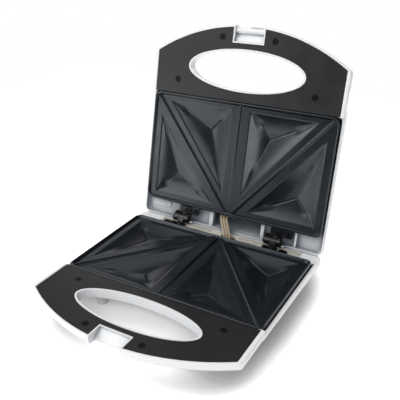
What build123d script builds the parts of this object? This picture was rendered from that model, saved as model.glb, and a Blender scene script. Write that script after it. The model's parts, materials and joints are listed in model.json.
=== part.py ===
"""Two-slice electric sandwich maker with triangular pockets, standing open.

Both halves are drawn in the same local frame. Its origin is the middle of the plates on the
parting plane, x runs along the hinge, y points at the hinge and z points out of the half, so
depths into a half are negative z. The base half lies flat, and the lid half is turned over and
swung up about the hinge.
"""

import math
import os

from build123d import *

os.makedirs("parts", exist_ok=True)

# Stance: the lid's opening angle in degrees and the hinge's place behind the plates
lid_open_angle = 103.5
hinge_setback = 15.4

# Cooking plates
plate_width = 220.0
plate_depth = 127.0
plate_corner = 5.0
plate_skin = 3.4
lip_gap = 0.3
lip_height = 2.7
lip_width = 4.5
pocket_fall = 7.3
pocket_wall_drop = 4.0
pocket_wall_run = 7.0
pocket_side_margin = 11.0
pocket_end_margin = 8.5
pocket_centre_margin = 12.0
pocket_gap_x = 10.75
pocket_gap_y = 17.5
pocket_grow = 1.2
ridge_width = 4.5
ridge_crest = 0.8
ridge_height = 2.2
ridge_offset = 3.0

# Plate fixing: lugs with screws at the rear and tongues under the handle at the front
lug_inset = 37.0
upper_lug_inset = 67.0
lug_width = 9.0
lug_reach = 10.0
lug_thickness = 2.4
tongue_inset = 50.0
tongue_width = 20.0
tongue_gap = 0.3

# Housings
shell_wall = 2.2
shell_floor = 2.0
plate_gap = 1.3
divider_gap = 0.5
divider_wall = 2.0
wall_seam = 0.4
rim_drop = 4.0
rear_overhang = 4.5
tub_corner = 7.0
tub_corner_growth = 14.0
side_wall_front = 9.0
side_wall_rear = 14.0
wall_softening = 1.6
dish_inset_side = 32.0
dish_inset_front = 30.0
dish_inset_rear = 11.0
dish_tuck = 6.5
dish_edge = [(0.009, -0.3), (0.028, 0.8), (0.054, 1.8)]
dish_fullness = 1.7
dish_steps = 7
cut_margin = 1.0
base_depth = 33.5
lid_depth = 36.5

# Handles
handle_reach = 80.5
handle_bow = 35.0
handle_thickness = 10.0
handle_gap = 0.3
handle_corner = 5.0
handle_step = 0.5
handle_edge = 4.5
handle_rim_edge = 0.6
rim_side = 4.0
rim_front = 1.8
tray_floor = 2.2
trim_thickness = 2.4
trim_drop = 0.4
trim_gap = 0.25
trim_tab_width = 26.0
trim_tab_reach = 2.2
trim_tab_groove = 0.4
oval_length = 132.8
oval_width = 40.6
oval_wall = 2.2
oval_setback = 33.4
notch_width = 33.4
notch_reach = 17.3
notch_wall = 1.5
shelf_setback = 8.4
shelf_top_rear = 2.5
shelf_top_front = 7.0
shelf_lip = 2.0
shelf_undercut = 4.6
shelf_undercut_width = 18.0

# Screws
screw_clearance = 0.05
trim_screw_front_x = 30.3
trim_screw_front_inset = 13.8
trim_screw_rear_side = 29.0
trim_screw_rear_inset = 16.1
trim_recess_radius = 3.5
trim_recess_depth = 1.5
screw_head_radius = 3.0
screw_head_height = 1.3
screw_shank_radius = 1.5
screw_length = 5.0
screw_slot_length = 3.6
screw_slot_width = 0.9
screw_slot_depth = 0.7
boss_radius = 4.2

# Heating elements, clamps and reflectors
element_radius = 3.3
element_gap = 0.3
element_end_inset = 30.0
element_bend_inset = 52.0
terminal_radius = 1.5
terminal_length = 9.0
pad_radius = 5.0
pad_drop = 0.6
clamp_inset = 62.0
clamp_width = 12.0
clamp_thickness = 1.5
clamp_overhang = 8.0
clamp_post_y = 13.0
clamp_post_radius = 3.6
reflector_thickness = 0.8
reflector_side_margin = 28.0
reflector_end_margin = 20.0
reflector_corner = 10.0

# Hinges
hinge_inset = 52.0
knuckle_radius = 4.7
knuckle_left = 7.1
knuckle_middle = 6.6
knuckle_right = 4.7
knuckle_gap = 0.3
pin_radius = 2.0
pin_clearance = 0.05
pin_head_radius = 3.0
pin_head = 1.1
leaf_thickness = 2.5
leaf_front = 2.0
leaf_rear = 9.5
lid_leaf_drop = 3.0
lid_leaf_inset = 4.0
hinge_notch_margin = 1.0
hinge_screw_row = 5.6
hinge_web_gap = 0.3
base_hinge_screw_spread = 11.0
base_foot_inset = 1.0
lid_hinge_screw_offset = 4.6

# Rear strip of the base, with its cover over the wiring
deck_drop = 6.1
deck_thickness = 2.0
deck_gap = 0.4
cover_left_inset = 27.0
cover_right_inset = 19.0
cover_rib_width = 1.2
cover_rib_height = 0.5
cover_rib_count = 3
cover_screw_x = 34.0
cover_screw_row = 6.5
sleeve_slot_width = 18.0
sleeve_slot_depth = 11.0

# Feet
foot_height = 4.5
foot_inset = 38.0
foot_front_inset = 5.5
foot_rear_reach = 5.5
foot_radius = 6.4
foot_chamfer = 0.6
foot_stem_radius = 3.0
foot_stem_length = 4.0
foot_clearance = 0.05

# Wiring: terminal block, cord gland and the sleeves that cross the hinge
block_width = 28.0
block_depth = 12.0
block_height = 12.0
block_rear_gap = 5.0
block_edge = 1.3
gland_x = 42.0
gland_drop = 22.0
gland_bore_radius = 3.6
gland_radius = 5.4
gland_flange_radius = 7.5
gland_flange = 1.8
gland_boss_radius = 9.0
gland_boss_length = 10.5
gland_clearance = 0.1
sleeve_radius = 1.4
sleeve_pitch = 3.5
sleeve_count = 3
sleeve_bend_share = 0.45
sleeve_gap = 0.4
sleeve_x = 6.5
sleeve_lid_x = -6.5
sleeve_start_setback = 2.5
sleeve_rise = 6.5
sleeve_exit_setback = 8.5
sleeve_lid_setback = 5.9
sleeve_lid_rise = 10.6
sleeve_dive = 8.7
sleeve_end = 7.5
sleeve_fall = 3.5
anchor_width = 16.0
anchor_depth = 7.0

# Open compartments behind the lid's plate, by places along the hinge as seen from the front
bay_depth = 11.0
bay_floor = 1.8
bay_left_edge = -25.0
bay_right_edge = 44.0
bay_rib_left = 5.0
bay_rib_middle = 4.0
bay_rib_right = 2.5
bay_rib_right_inset = 30.0
bay_rib_drop = 6.0
emboss_width = 24.0
emboss_depth = 9.0
emboss_height = 1.0
emboss_corner = 3.5
emboss_inset = 18.0

# Thermostat and pilot lamps
thermostat_radius = 8.0
thermostat_height = 9.3
thermostat_strap_width = 10.0
thermostat_strap_thickness = 1.0
thermostat_post_y = 14.0
thermostat_post_radius = 3.4
lens_x = 11.0
lens_y = -28.0
lens_radius = 4.2
lens_flange_radius = 5.2
lens_flange = 0.8
lens_edge = 0.6
lens_clearance = 0.1
lamp_radius = 2.6
lamp_length = 7.0
lamp_dome = 2.0
lamp_gap = 0.3
lamp_clearance = 0.1
holder_length = 46.0
holder_width = 11.0
holder_thickness = 1.6
holder_lift = 4.0
holder_screw_x = 19.0
holder_boss_radius = 3.6

# Latch
latch_pivot_setback = 5.4
latch_pivot_drop = 4.5
latch_pin_radius = 1.25
latch_pin_seat = 1.1
latch_pin_clearance = 0.08
latch_width = 14.4
latch_barrel_radius = 2.5
latch_side_gap = 0.3
latch_arm = 2.6
latch_hook = 4.4
latch_hook_thickness = 2.2
latch_hook_gap = 0.7

# Sizes that follow from the driving dimensions
plate_half_x = plate_width / 2
plate_half_y = plate_depth / 2
hinge_y = plate_half_y + hinge_setback
parting_height = base_depth + foot_height
lug_x = plate_half_x - lug_inset
upper_lug_x = plate_half_x - upper_lug_inset
tongue_x = plate_half_x - tongue_inset
trim_screw_rear_x = plate_half_x - trim_screw_rear_side
element_end_x = plate_half_x - element_end_inset
element_bend_x = plate_half_x - element_bend_inset
clamp_x = plate_half_x - clamp_inset
hinge_x = plate_half_x - hinge_inset
cover_left = plate_half_x - cover_left_inset
cover_right = plate_half_x - cover_right_inset
bay_rib_right_x = plate_half_x - bay_rib_right_inset
emboss_x = emboss_inset - plate_half_x
foot_x = plate_half_x - foot_inset
foot_front_y = foot_front_inset - plate_half_y
foot_rear_y = plate_half_y + foot_rear_reach
lip_top = -lip_gap
land_z = lip_top - lip_height
plate_back = land_z - plate_skin
pocket_apex = land_z - pocket_fall
plate_lowest = pocket_apex - plate_skin
shell_half_x = plate_half_x + plate_gap + shell_wall
rear_outer = hinge_y + rear_overhang
rear_inner = rear_outer - shell_wall
tub_front = -plate_half_y - divider_gap
divider_front = tub_front - divider_wall
handle_front = -plate_half_y - handle_reach
handle_top = -handle_gap
tray_z = -handle_thickness + tray_floor
trim_top = handle_top - trim_drop
trim_back = trim_top - trim_thickness
bow_radius = (shell_half_x**2 + handle_bow**2) / (2 * handle_bow)
oval_y = -plate_half_y - oval_setback
notch_rear = handle_front + notch_reach
shelf_front = handle_front + shelf_setback
trim_screws = [
    (-trim_screw_front_x, handle_front + trim_screw_front_inset),
    (trim_screw_front_x, handle_front + trim_screw_front_inset),
    (-trim_screw_rear_x, -plate_half_y - trim_screw_rear_inset),
    (trim_screw_rear_x, -plate_half_y - trim_screw_rear_inset),
]
pocket_inner = pocket_centre_margin
pocket_outer = plate_half_x - pocket_side_margin
pocket_far = plate_half_y - pocket_end_margin
rear_pocket = [
    (pocket_outer, pocket_far),
    (pocket_inner + pocket_gap_x, pocket_far),
    (pocket_outer, pocket_gap_y - pocket_far),
]
front_pocket = [
    (pocket_inner, -pocket_far),
    (pocket_outer - pocket_gap_x, -pocket_far),
    (pocket_inner, pocket_far - pocket_gap_y),
]
pockets = [[(side * x, y) for x, y in shape] for side in (-1, 1) for shape in (rear_pocket, front_pocket)]
lug_y = plate_half_y + lug_reach - lug_width / 2
lower_lugs = [(-lug_x, lug_y), (lug_x, lug_y)]
upper_lugs = [(-lug_x, lug_y), (upper_lug_x, lug_y)]
pad_z = plate_lowest - pad_drop
element_z = pad_z - element_gap - element_radius
clamp_z = element_z - element_radius - element_gap
clamp_back = clamp_z - clamp_thickness
reflector_back = clamp_back - reflector_thickness
clamp_posts = [(sx * clamp_x, sy * clamp_post_y) for sx in (-1, 1) for sy in (-1, 1)]
leaf_y0 = plate_half_y + leaf_front
leaf_y1 = plate_half_y + leaf_rear
hinge_length = knuckle_left + knuckle_middle + knuckle_right + 2 * knuckle_gap
hinge_row = plate_half_y + hinge_screw_row
web_y = hinge_row + screw_head_radius + hinge_web_gap
cover_row = plate_half_y + cover_screw_row
latch_y = handle_front + latch_pivot_setback
latch_pivot = (latch_y, -latch_pivot_drop)
latch_reach = latch_pivot_drop + shelf_top_front + shelf_lip + latch_hook_gap + latch_hook_thickness

# The row's origin is under the middle of the open part, whose rearmost point is the latch's tip
open_turn = math.radians(lid_open_angle)
latch_tip = latch_pivot_drop + latch_reach
latch_front = latch_y - latch_hook - hinge_y
rearmost = hinge_y + latch_front * math.cos(open_turn) + latch_tip * math.sin(open_turn)
plate_y = -(handle_front + rearmost) / 2

base = Plane(origin=(0, plate_y, parting_height), x_dir=(1, 0, 0), z_dir=(0, 0, 1))
lid = Plane(
    origin=(
        0,
        plate_y + hinge_y - hinge_y * math.cos(open_turn),
        parting_height + hinge_y * math.sin(open_turn),
    ),
    x_dir=(-1, 0, 0),
    z_dir=(0, -math.sin(open_turn), -math.cos(open_turn)),
)


def middle_of(corners):
    """The centre of a triangle's inner circle."""
    sides = [math.dist(corners[i - 2], corners[i - 1]) for i in range(3)]
    x = sum(side * corner[0] for side, corner in zip(sides, corners)) / sum(sides)
    y = sum(side * corner[1] for side, corner in zip(sides, corners)) / sum(sides)
    return x, y


def inset(corners, step):
    """A triangle whose sides move in by a step, towards the centre of its inner circle."""
    (ax, ay), (bx, by), (cx, cy) = corners
    around = sum(math.dist(corners[i - 1], corners[i]) for i in range(3))
    reach = abs((bx - ax) * (cy - ay) - (cx - ax) * (by - ay)) / around
    share = 1 - step / reach
    middle_x, middle_y = middle_of(corners)
    return [(middle_x + share * (x - middle_x), middle_y + share * (y - middle_y)) for x, y in corners]


# The elements run under the lowest points of the pockets
element_y = middle_of(rear_pocket)[1]


def area(plane, x0, x1, y0, y1):
    """A rectangle between two x and two y values of a plane."""
    with BuildSketch(plane) as sketch:
        with Locations(((x0 + x1) / 2, (y0 + y1) / 2)):
            Rectangle(abs(x1 - x0), abs(y1 - y0))
    return sketch.sketch


def soft_area(plane, x0, x1, y0, y1, radius):
    """A rectangle with round corners between two x and two y values of a plane."""
    with BuildSketch(plane) as sketch:
        with Locations(((x0 + x1) / 2, (y0 + y1) / 2)):
            RectangleRounded(x1 - x0, y1 - y0, radius)
    return sketch.sketch


def discs(plane, radius, places):
    """Equal discs at places on a plane."""
    with BuildSketch(plane) as sketch:
        with Locations(*places):
            Circle(radius)
    return sketch.sketch


def oval(plane, grow):
    """The handle's finger opening, grown by a margin."""
    with BuildSketch(plane) as sketch:
        with Locations((0, oval_y)):
            Ellipse(oval_length / 2 + grow, oval_width / 2 + grow)
    return sketch.sketch


def polygon(plane, points):
    """A flat shape through corner points."""
    with BuildSketch(plane) as sketch:
        with BuildLine():
            Polyline(*points, close=True)
        make_face()
    return sketch.sketch


def across(half, x):
    """The plane square to the hinge at x, with the half's y and z as its own x and y."""
    return Plane(origin=half.from_local_coords((x, 0, 0)), x_dir=half.y_dir, z_dir=half.x_dir)


def facing_rear(half, y):
    """The plane that faces the hinge at y, with the half's x as its own x."""
    return Plane(origin=half.from_local_coords((0, y, 0)), x_dir=-half.x_dir, z_dir=half.y_dir)


def handle_outline(plane, inset_side, inset_front, rear):
    """The handle in plan: straight sides and one bowed front, inset from the shell's edge."""
    half_width = shell_half_x - inset_side
    radius = bow_radius - inset_front
    centre_y = handle_front + bow_radius
    corner_y = centre_y - math.sqrt(radius**2 - half_width**2)
    with BuildSketch(plane) as sketch:
        with BuildLine():
            Polyline(
                (-half_width, corner_y), (-half_width, rear), (half_width, rear), (half_width, corner_y)
            )
            ThreePointArc((half_width, corner_y), (0, centre_y - radius), (-half_width, corner_y))
        make_face()
    return sketch.sketch


def tub_sections(half, depth, side_wall, front_y, lift):
    """Plans of the dished tub from its rim to its floor, for its outside or its hollow.

    The side wall's lower edge falls towards the hinge. Below it the dish closes in, steep at
    the edge and flat at the floor.
    """
    length = rear_outer - divider_front
    tilt = math.degrees(math.atan2(side_wall_rear - side_wall_front, length))
    edge = side_wall_front + (side_wall_rear - side_wall_front) * -divider_front / length
    rows = [(0, rim_drop if lift == 0 else 0, 0), (0, edge - wall_softening, tilt)]
    rows += [(share, edge + drop - lift * share, tilt) for share, drop in dish_edge]
    start, top = rows[-1][:2]
    for step in range(1, dish_steps + 1):
        run = step / dish_steps
        fall = 1 - (1 - run) ** dish_fullness
        rows.append((start + (1 - start) * run, top + (depth - lift - top) * fall, tilt * (1 - run)))
    sections = []
    for share, drop, lean in rows:
        plane = half.offset(-drop).rotated((-lean, 0, 0))
        stretch = 1 / math.cos(math.radians(lean))
        half_x = shell_half_x - side_wall - share * dish_inset_side
        front = (front_y + share * dish_inset_front) * stretch
        rear = (rear_outer - side_wall - share * dish_inset_rear) * stretch
        radius = tub_corner - side_wall + share * tub_corner_growth
        sections.append(soft_area(plane, -half_x, half_x, front, rear, radius))
    return sections


def ledge(plane, front, gap_start, gap_end):
    """A shelf along the tub's rear wall that runs into the walls, open between two x values."""
    half_x = shell_half_x - shell_wall + wall_seam
    rear = rear_inner + wall_seam
    with BuildSketch(plane) as sketch:
        with Locations((0, (front + rear) / 2)):
            RectangleRounded(2 * half_x, rear - front, tub_corner - shell_wall)
        with Locations(((gap_start + gap_end) / 2, (front + rear) / 2)):
            Rectangle(gap_end - gap_start, rear - front, mode=Mode.SUBTRACT)
    return sketch.sketch


def screw(plane, places, length):
    """Cross-head screws whose heads sit on the plane and whose shanks run below it."""
    with BuildPart() as screws:
        extrude(discs(plane, screw_head_radius, places), amount=screw_head_height)
        extrude(discs(plane, screw_shank_radius, places), amount=-length)
        for x, y in places:
            head = plane.offset(screw_head_height)
            for wide, tall in ((screw_slot_length, screw_slot_width), (screw_slot_width, screw_slot_length)):
                cross = area(head, x - wide / 2, x + wide / 2, y - tall / 2, y + tall / 2)
                extrude(cross, amount=-screw_slot_depth, mode=Mode.SUBTRACT)
    return screws.part


def housing_shell(half, depth, lug_places, foot_places):
    """The moulding that base and lid share: dished tub, handle tray, oval, notch and bosses."""
    along_y = Axis(half.origin, half.y_dir)
    along_z = Axis(half.origin, half.z_dir)
    with BuildPart() as shell:
        # Handle slab with soft outer edges
        extrude(handle_outline(half.offset(-handle_thickness), 0, 0, tub_front + handle_step),
                amount=handle_thickness + handle_top)
        fillet(shell.edges().filter_by(along_z).sort_by(along_y)[:2], handle_corner)
        fillet(shell.faces().sort_by(along_z)[0].edges().sort_by(along_y)[:-1], handle_edge)
        chamfer(shell.faces().sort_by(along_z)[-1].edges().sort_by(along_y)[:-1], handle_rim_edge)
        # Dished tub and foot posts, then the hollow of both
        loft(tub_sections(half, depth, 0, divider_front - dish_tuck, 0), ruled=True)
        if foot_places:
            post_top = half.offset(-side_wall_front)
            extrude(discs(post_top, foot_radius, foot_places), amount=side_wall_front - depth)
        loft(tub_sections(half, depth, shell_wall, tub_front, shell_floor), ruled=True, mode=Mode.SUBTRACT)
        # Handle tray with the oval's wall, the notch's walls and the screw bosses
        tray = handle_outline(half.offset(tray_z), rim_side, rim_front, divider_front)
        extrude(tray, amount=handle_top - tray_z, mode=Mode.SUBTRACT)
        extrude(oval(half.offset(tray_z), oval_wall), amount=handle_top - tray_z)
        notch_half = notch_width / 2
        wall_half = notch_half + notch_wall
        tray_base = half.offset(tray_z)
        notch_front = handle_front + bow_radius - math.sqrt(bow_radius**2 - wall_half**2) + rim_front / 2
        extrude(area(tray_base, -wall_half, wall_half, notch_front, notch_rear + notch_wall),
                amount=handle_top - tray_z)
        extrude(discs(tray_base, boss_radius, trim_screws), amount=trim_back - tray_z)
        extrude(discs(half.offset(trim_back), screw_shank_radius + screw_clearance, trim_screws),
                amount=-screw_length, mode=Mode.SUBTRACT)
        extrude(oval(half, 0), amount=-depth, mode=Mode.SUBTRACT)
        # Divider between tub and tray ends under the trim, and the plate's tongues pass through it
        extrude(area(half, -shell_half_x + rim_side, shell_half_x - rim_side, divider_front, tub_front),
                amount=trim_back, mode=Mode.SUBTRACT)
        for side in (-1, 1):
            reach = tongue_width / 2 + tongue_gap
            slot = area(half, side * tongue_x - reach, side * tongue_x + reach,
                        divider_front, tub_front + tongue_gap)
            extrude(slot, amount=plate_back - tongue_gap, mode=Mode.SUBTRACT)
        # Notch: a ramped shelf behind an open front, undercut for the latch's hook
        ramp = [
            (notch_rear, cut_margin),
            (notch_rear, -shelf_top_rear),
            (shelf_front, -shelf_top_front),
            (shelf_front, -handle_thickness - cut_margin),
            (handle_front - cut_margin, -handle_thickness - cut_margin),
            (handle_front - cut_margin, cut_margin),
        ]
        extrude(polygon(across(half, 0), ramp), amount=notch_half, both=True, mode=Mode.SUBTRACT)
        undercut = area(
            half.offset(-handle_thickness),
            -shelf_undercut_width / 2,
            shelf_undercut_width / 2,
            shelf_front,
            shelf_front + shelf_undercut,
        )
        lip_bottom = shelf_top_front + shelf_lip
        extrude(undercut, amount=handle_thickness - lip_bottom, mode=Mode.SUBTRACT)
        # Bosses that carry the plate's lugs
        floor = half.offset(-depth + shell_floor / 2)
        extrude(discs(floor, lug_width / 2, lug_places), amount=depth - shell_floor / 2 + plate_back)
        extrude(discs(half.offset(plate_back), screw_shank_radius + screw_clearance, lug_places),
                amount=-screw_length, mode=Mode.SUBTRACT)
    return shell.part


def cooking_plate(half, lug_places, post_places):
    """A cast plate: lip, land, dividing ridges, four pockets, and posts and pads on its back."""

    def bowl(corners, grow, top, wall_end, apex):
        """Faces of a pocket: its mouth, the foot of its steep wall and its lowest point."""
        mouth = inset(corners, -grow)
        foot = inset(corners, pocket_wall_run - grow)
        point = half.from_local_coords((*middle_of(corners), apex))
        return (
            [polygon(half.offset(top), mouth), polygon(half.offset(wall_end), foot)],
            [polygon(half.offset(wall_end), foot), Vertex(*point)],
        )

    wall_end = land_z - pocket_wall_drop
    with BuildPart() as plate:
        with BuildSketch(half.offset(land_z)):
            RectangleRounded(plate_width, plate_depth, plate_corner)
        extrude(amount=-plate_skin)
        with BuildSketch(half.offset(land_z)):
            RectangleRounded(plate_width, plate_depth, plate_corner)
            RectangleRounded(
                plate_width - 2 * lip_width, plate_depth - 2 * lip_width, plate_corner / 2, mode=Mode.SUBTRACT
            )
        extrude(amount=lip_height)
        # Dividing ridges: one across the middle and a slanting one in each cell
        slope = math.degrees(math.atan2((ridge_width - ridge_crest) / 2, ridge_height))
        ends = plate_half_y - lip_width / 2
        corner = plate_half_x - lip_width
        lines = [((0, -ends), (0, ends))]
        lines += [((side * ridge_offset, ends), (side * corner, -ends)) for side in (-1, 1)]
        for start, end in lines:
            turn = math.degrees(math.atan2(end[1] - start[1], end[0] - start[0]))
            middle = ((start[0] + end[0]) / 2, (start[1] + end[1]) / 2)
            with BuildSketch(half.offset(land_z)) as ridge:
                with Locations(Location((*middle, 0), (0, 0, turn))):
                    Rectangle(math.dist(start, end), ridge_width)
            extrude(ridge.sketch, amount=ridge_height, taper=slope)
        # Backs of the pockets, posts for the element clamps and pads under the element
        for corners in pockets:
            wall, fall = bowl(corners, pocket_grow, plate_back, wall_end - plate_skin, plate_lowest)
            loft(wall, ruled=True)
            loft(fall, ruled=True)
            extrude(discs(half.offset(pad_z), pad_radius, [middle_of(corners)]), amount=plate_back - pad_z)
        extrude(discs(half.offset(clamp_z), clamp_post_radius, clamp_posts), amount=plate_back - clamp_z)
        for places, radius, level in post_places:
            extrude(discs(half.offset(level), radius, places), amount=plate_back - level)
        for corners in pockets:
            wall, fall = bowl(corners, 0, land_z, wall_end, pocket_apex)
            loft(wall, ruled=True, mode=Mode.SUBTRACT)
            loft(fall, ruled=True, mode=Mode.SUBTRACT)
        # Rear lugs with screw holes, and front tongues
        for x, y in lug_places:
            lug = area(half.offset(plate_back), x - lug_width / 2, x + lug_width / 2,
                       plate_half_y - lip_width, plate_half_y + lug_reach)
            extrude(lug, amount=lug_thickness)
        extrude(discs(half.offset(plate_back), screw_shank_radius + tongue_gap, lug_places),
                amount=lug_thickness, mode=Mode.SUBTRACT)
        for side in (-1, 1):
            tongue = area(half.offset(plate_back), side * tongue_x - tongue_width / 2,
                          side * tongue_x + tongue_width / 2, divider_front, -plate_half_y + lip_width)
            extrude(tongue, amount=lug_thickness)
        # Screw holes in the posts
        extrude(discs(half.offset(clamp_z), screw_shank_radius + screw_clearance, clamp_posts),
                amount=screw_length, mode=Mode.SUBTRACT)
        for places, radius, level in post_places:
            extrude(discs(half.offset(level), screw_shank_radius + screw_clearance, places),
                    amount=screw_length, mode=Mode.SUBTRACT)
    return plate.part


def handle_trim(half):
    """The flat insert that closes handle tray and divider, round the oval, the notch and four screws."""
    plane = half.offset(trim_back)
    rear = tub_front - trim_gap
    tab_half = trim_tab_width / 2
    with BuildPart() as trim:
        extrude(handle_outline(plane, rim_side + trim_gap, rim_front + trim_gap, rear), amount=trim_thickness)
        # A groove marks the tab that lifts the insert
        groove = half.offset(trim_top - trim_tab_groove)
        extrude(area(groove, -tab_half, tab_half, rear - trim_tab_reach, rear),
                amount=trim_tab_groove, mode=Mode.SUBTRACT)
        extrude(area(groove, trim_tab_groove - tab_half, tab_half - trim_tab_groove,
                     rear - trim_tab_reach + trim_tab_groove, rear), amount=trim_tab_groove)
        extrude(oval(plane, oval_wall + trim_gap), amount=trim_thickness, mode=Mode.SUBTRACT)
        wall_half = notch_width / 2 + notch_wall + trim_gap
        notch = area(plane, -wall_half, wall_half, handle_front, notch_rear + notch_wall + trim_gap)
        extrude(notch, amount=trim_thickness, mode=Mode.SUBTRACT)
        extrude(discs(half.offset(trim_top), trim_recess_radius, trim_screws),
                amount=-trim_recess_depth, mode=Mode.SUBTRACT)
        extrude(discs(plane, screw_shank_radius + trim_gap, trim_screws),
                amount=trim_thickness, mode=Mode.SUBTRACT)
    return trim.part


def heating_element(half):
    """A tubular element bent to a U that runs under the pockets' lowest points."""
    with BuildPart() as element:
        with BuildLine(half.offset(element_z)) as route:
            Line((element_end_x, element_y), (-element_bend_x, element_y))
            ThreePointArc(
                (-element_bend_x, element_y),
                (-element_bend_x - element_y, 0),
                (-element_bend_x, -element_y),
            )
            Line((-element_bend_x, -element_y), (element_end_x, -element_y))
        with BuildSketch(Plane(origin=route.line @ 0, z_dir=route.line % 0)):
            Circle(element_radius)
        sweep(path=route.line)
    return element.part


def element_terminals(half):
    """A terminal pin in each end of the element."""
    places = [(element_y, element_z), (-element_y, element_z)]
    with BuildPart() as pins:
        extrude(discs(across(half, element_end_x), terminal_radius, places), amount=terminal_length)
    return pins.part


def element_clamps(half):
    """Two flat straps that hold the element against the plate's pads."""
    reach = element_y + clamp_overhang
    with BuildPart() as clamps:
        for side in (-1, 1):
            strap = area(half.offset(clamp_z), side * clamp_x - clamp_width / 2,
                         side * clamp_x + clamp_width / 2, -reach, reach)
            extrude(strap, amount=-clamp_thickness)
        extrude(discs(half.offset(clamp_z), screw_shank_radius + tongue_gap, clamp_posts),
                amount=-clamp_thickness, mode=Mode.SUBTRACT)
    return clamps.part


def heat_reflector(half):
    """A thin sheet under the element, held by the clamp screws."""
    half_x = plate_half_x - reflector_side_margin
    half_y = plate_half_y - reflector_end_margin
    with BuildPart() as sheet:
        extrude(soft_area(half.offset(clamp_back), -half_x, half_x, -half_y, half_y, reflector_corner),
                amount=-reflector_thickness)
        extrude(discs(half.offset(clamp_back), screw_shank_radius + tongue_gap, clamp_posts),
                amount=-reflector_thickness, mode=Mode.SUBTRACT)
    return sheet.part


def hidden_screws(half, level, places):
    """Screws driven into the back of a plate, with their heads away from it."""
    plane = Plane(origin=half.from_local_coords((0, 0, level)), x_dir=-half.x_dir, z_dir=-half.z_dir)
    return screw(plane, [(-x, y) for x, y in places], screw_length)


def knuckle_spans(centre):
    """The three knuckles of a hinge along x, from left to right as seen from the front."""
    start = centre - hinge_length / 2
    left = (start, start + knuckle_left)
    middle = (left[1] + knuckle_gap, left[1] + knuckle_gap + knuckle_middle)
    right = (middle[1] + knuckle_gap, middle[1] + knuckle_gap + knuckle_right)
    return left, middle, right


def base_hinge_bracket(centre):
    """The base's hinge leaf: a foot on its boss and a web up to the middle knuckle."""
    left, middle, right = knuckle_spans(centre)
    foot = -deck_drop
    top = foot + leaf_thickness
    web = [
        (web_y, foot),
        (web_y, top),
        (hinge_y - knuckle_radius, knuckle_radius / 3),
        (hinge_y, 0),
        (hinge_y, -knuckle_radius),
        (leaf_y1, foot),
    ]
    length = middle[1] - middle[0]
    with BuildPart() as bracket:
        start = left[0] + base_foot_inset
        end = right[1] - base_foot_inset
        extrude(area(base.offset(foot), start, end, leaf_y0, leaf_y1), amount=leaf_thickness)
        side = across(base, middle[0])
        extrude(polygon(side, web), amount=length)
        extrude(discs(side, knuckle_radius, [(hinge_y, 0)]), amount=length)
        extrude(discs(side, pin_radius + pin_clearance, [(hinge_y, 0)]), amount=length, mode=Mode.SUBTRACT)
        extrude(discs(base.offset(foot), screw_shank_radius + screw_clearance, base_hinge_screws(centre)),
                amount=leaf_thickness, mode=Mode.SUBTRACT)
    return bracket.part


def base_hinge_screws(centre):
    """Places of the two screws in a base hinge leaf."""
    return [(centre + side * base_hinge_screw_spread / 2, hinge_row) for side in (-1, 1)]


def lid_hinge_bracket(centre):
    """The lid's hinge leaf: a plate on its boss and webs to the two outer knuckles."""
    left, middle, right = knuckle_spans(centre)
    top = -lid_leaf_drop
    back = top - leaf_thickness
    web = [
        (web_y, back),
        (web_y, top),
        (hinge_y - knuckle_radius, knuckle_radius / 3),
        (hinge_y, 0),
        (hinge_y, -knuckle_radius),
        (hinge_y - knuckle_radius / 2, back),
    ]
    with BuildPart() as bracket:
        leaf = area(lid.offset(back), -right[1], -left[0] - lid_leaf_inset, leaf_y0, leaf_y1)
        extrude(leaf, amount=leaf_thickness)
        for start, end in (left, right):
            side = across(lid, -end)
            extrude(polygon(side, web), amount=end - start)
            extrude(discs(side, knuckle_radius, [(hinge_y, 0)]), amount=end - start)
        extrude(discs(across(lid, -right[1]), pin_radius + pin_clearance, [(hinge_y, 0)]),
                amount=hinge_length, mode=Mode.SUBTRACT)
        extrude(discs(lid.offset(back), screw_shank_radius + screw_clearance, lid_hinge_screws(centre)),
                amount=leaf_thickness, mode=Mode.SUBTRACT)
    return bracket.part


def lid_hinge_screws(centre):
    """The place of the screw in a lid hinge leaf, in the lid's frame."""
    return [(-centre - lid_hinge_screw_offset, hinge_row)]


def hinge_pin(centre):
    """A pin through the three knuckles with a head at each end."""
    left, middle, right = knuckle_spans(centre)
    start = left[0] - knuckle_gap
    end = right[1] + knuckle_gap
    axis = [(hinge_y, 0)]
    with BuildPart() as pin:
        extrude(discs(across(base, start), pin_radius, axis), amount=end - start)
        extrude(discs(across(base, start), pin_head_radius, axis), amount=-pin_head)
        extrude(discs(across(base, end), pin_head_radius, axis), amount=pin_head)
    return pin.part


def write(solid, name):
    """Labels a finished piece and writes its file."""
    solid.label = name
    export_step(solid, f"parts/{name}.step")


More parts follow.
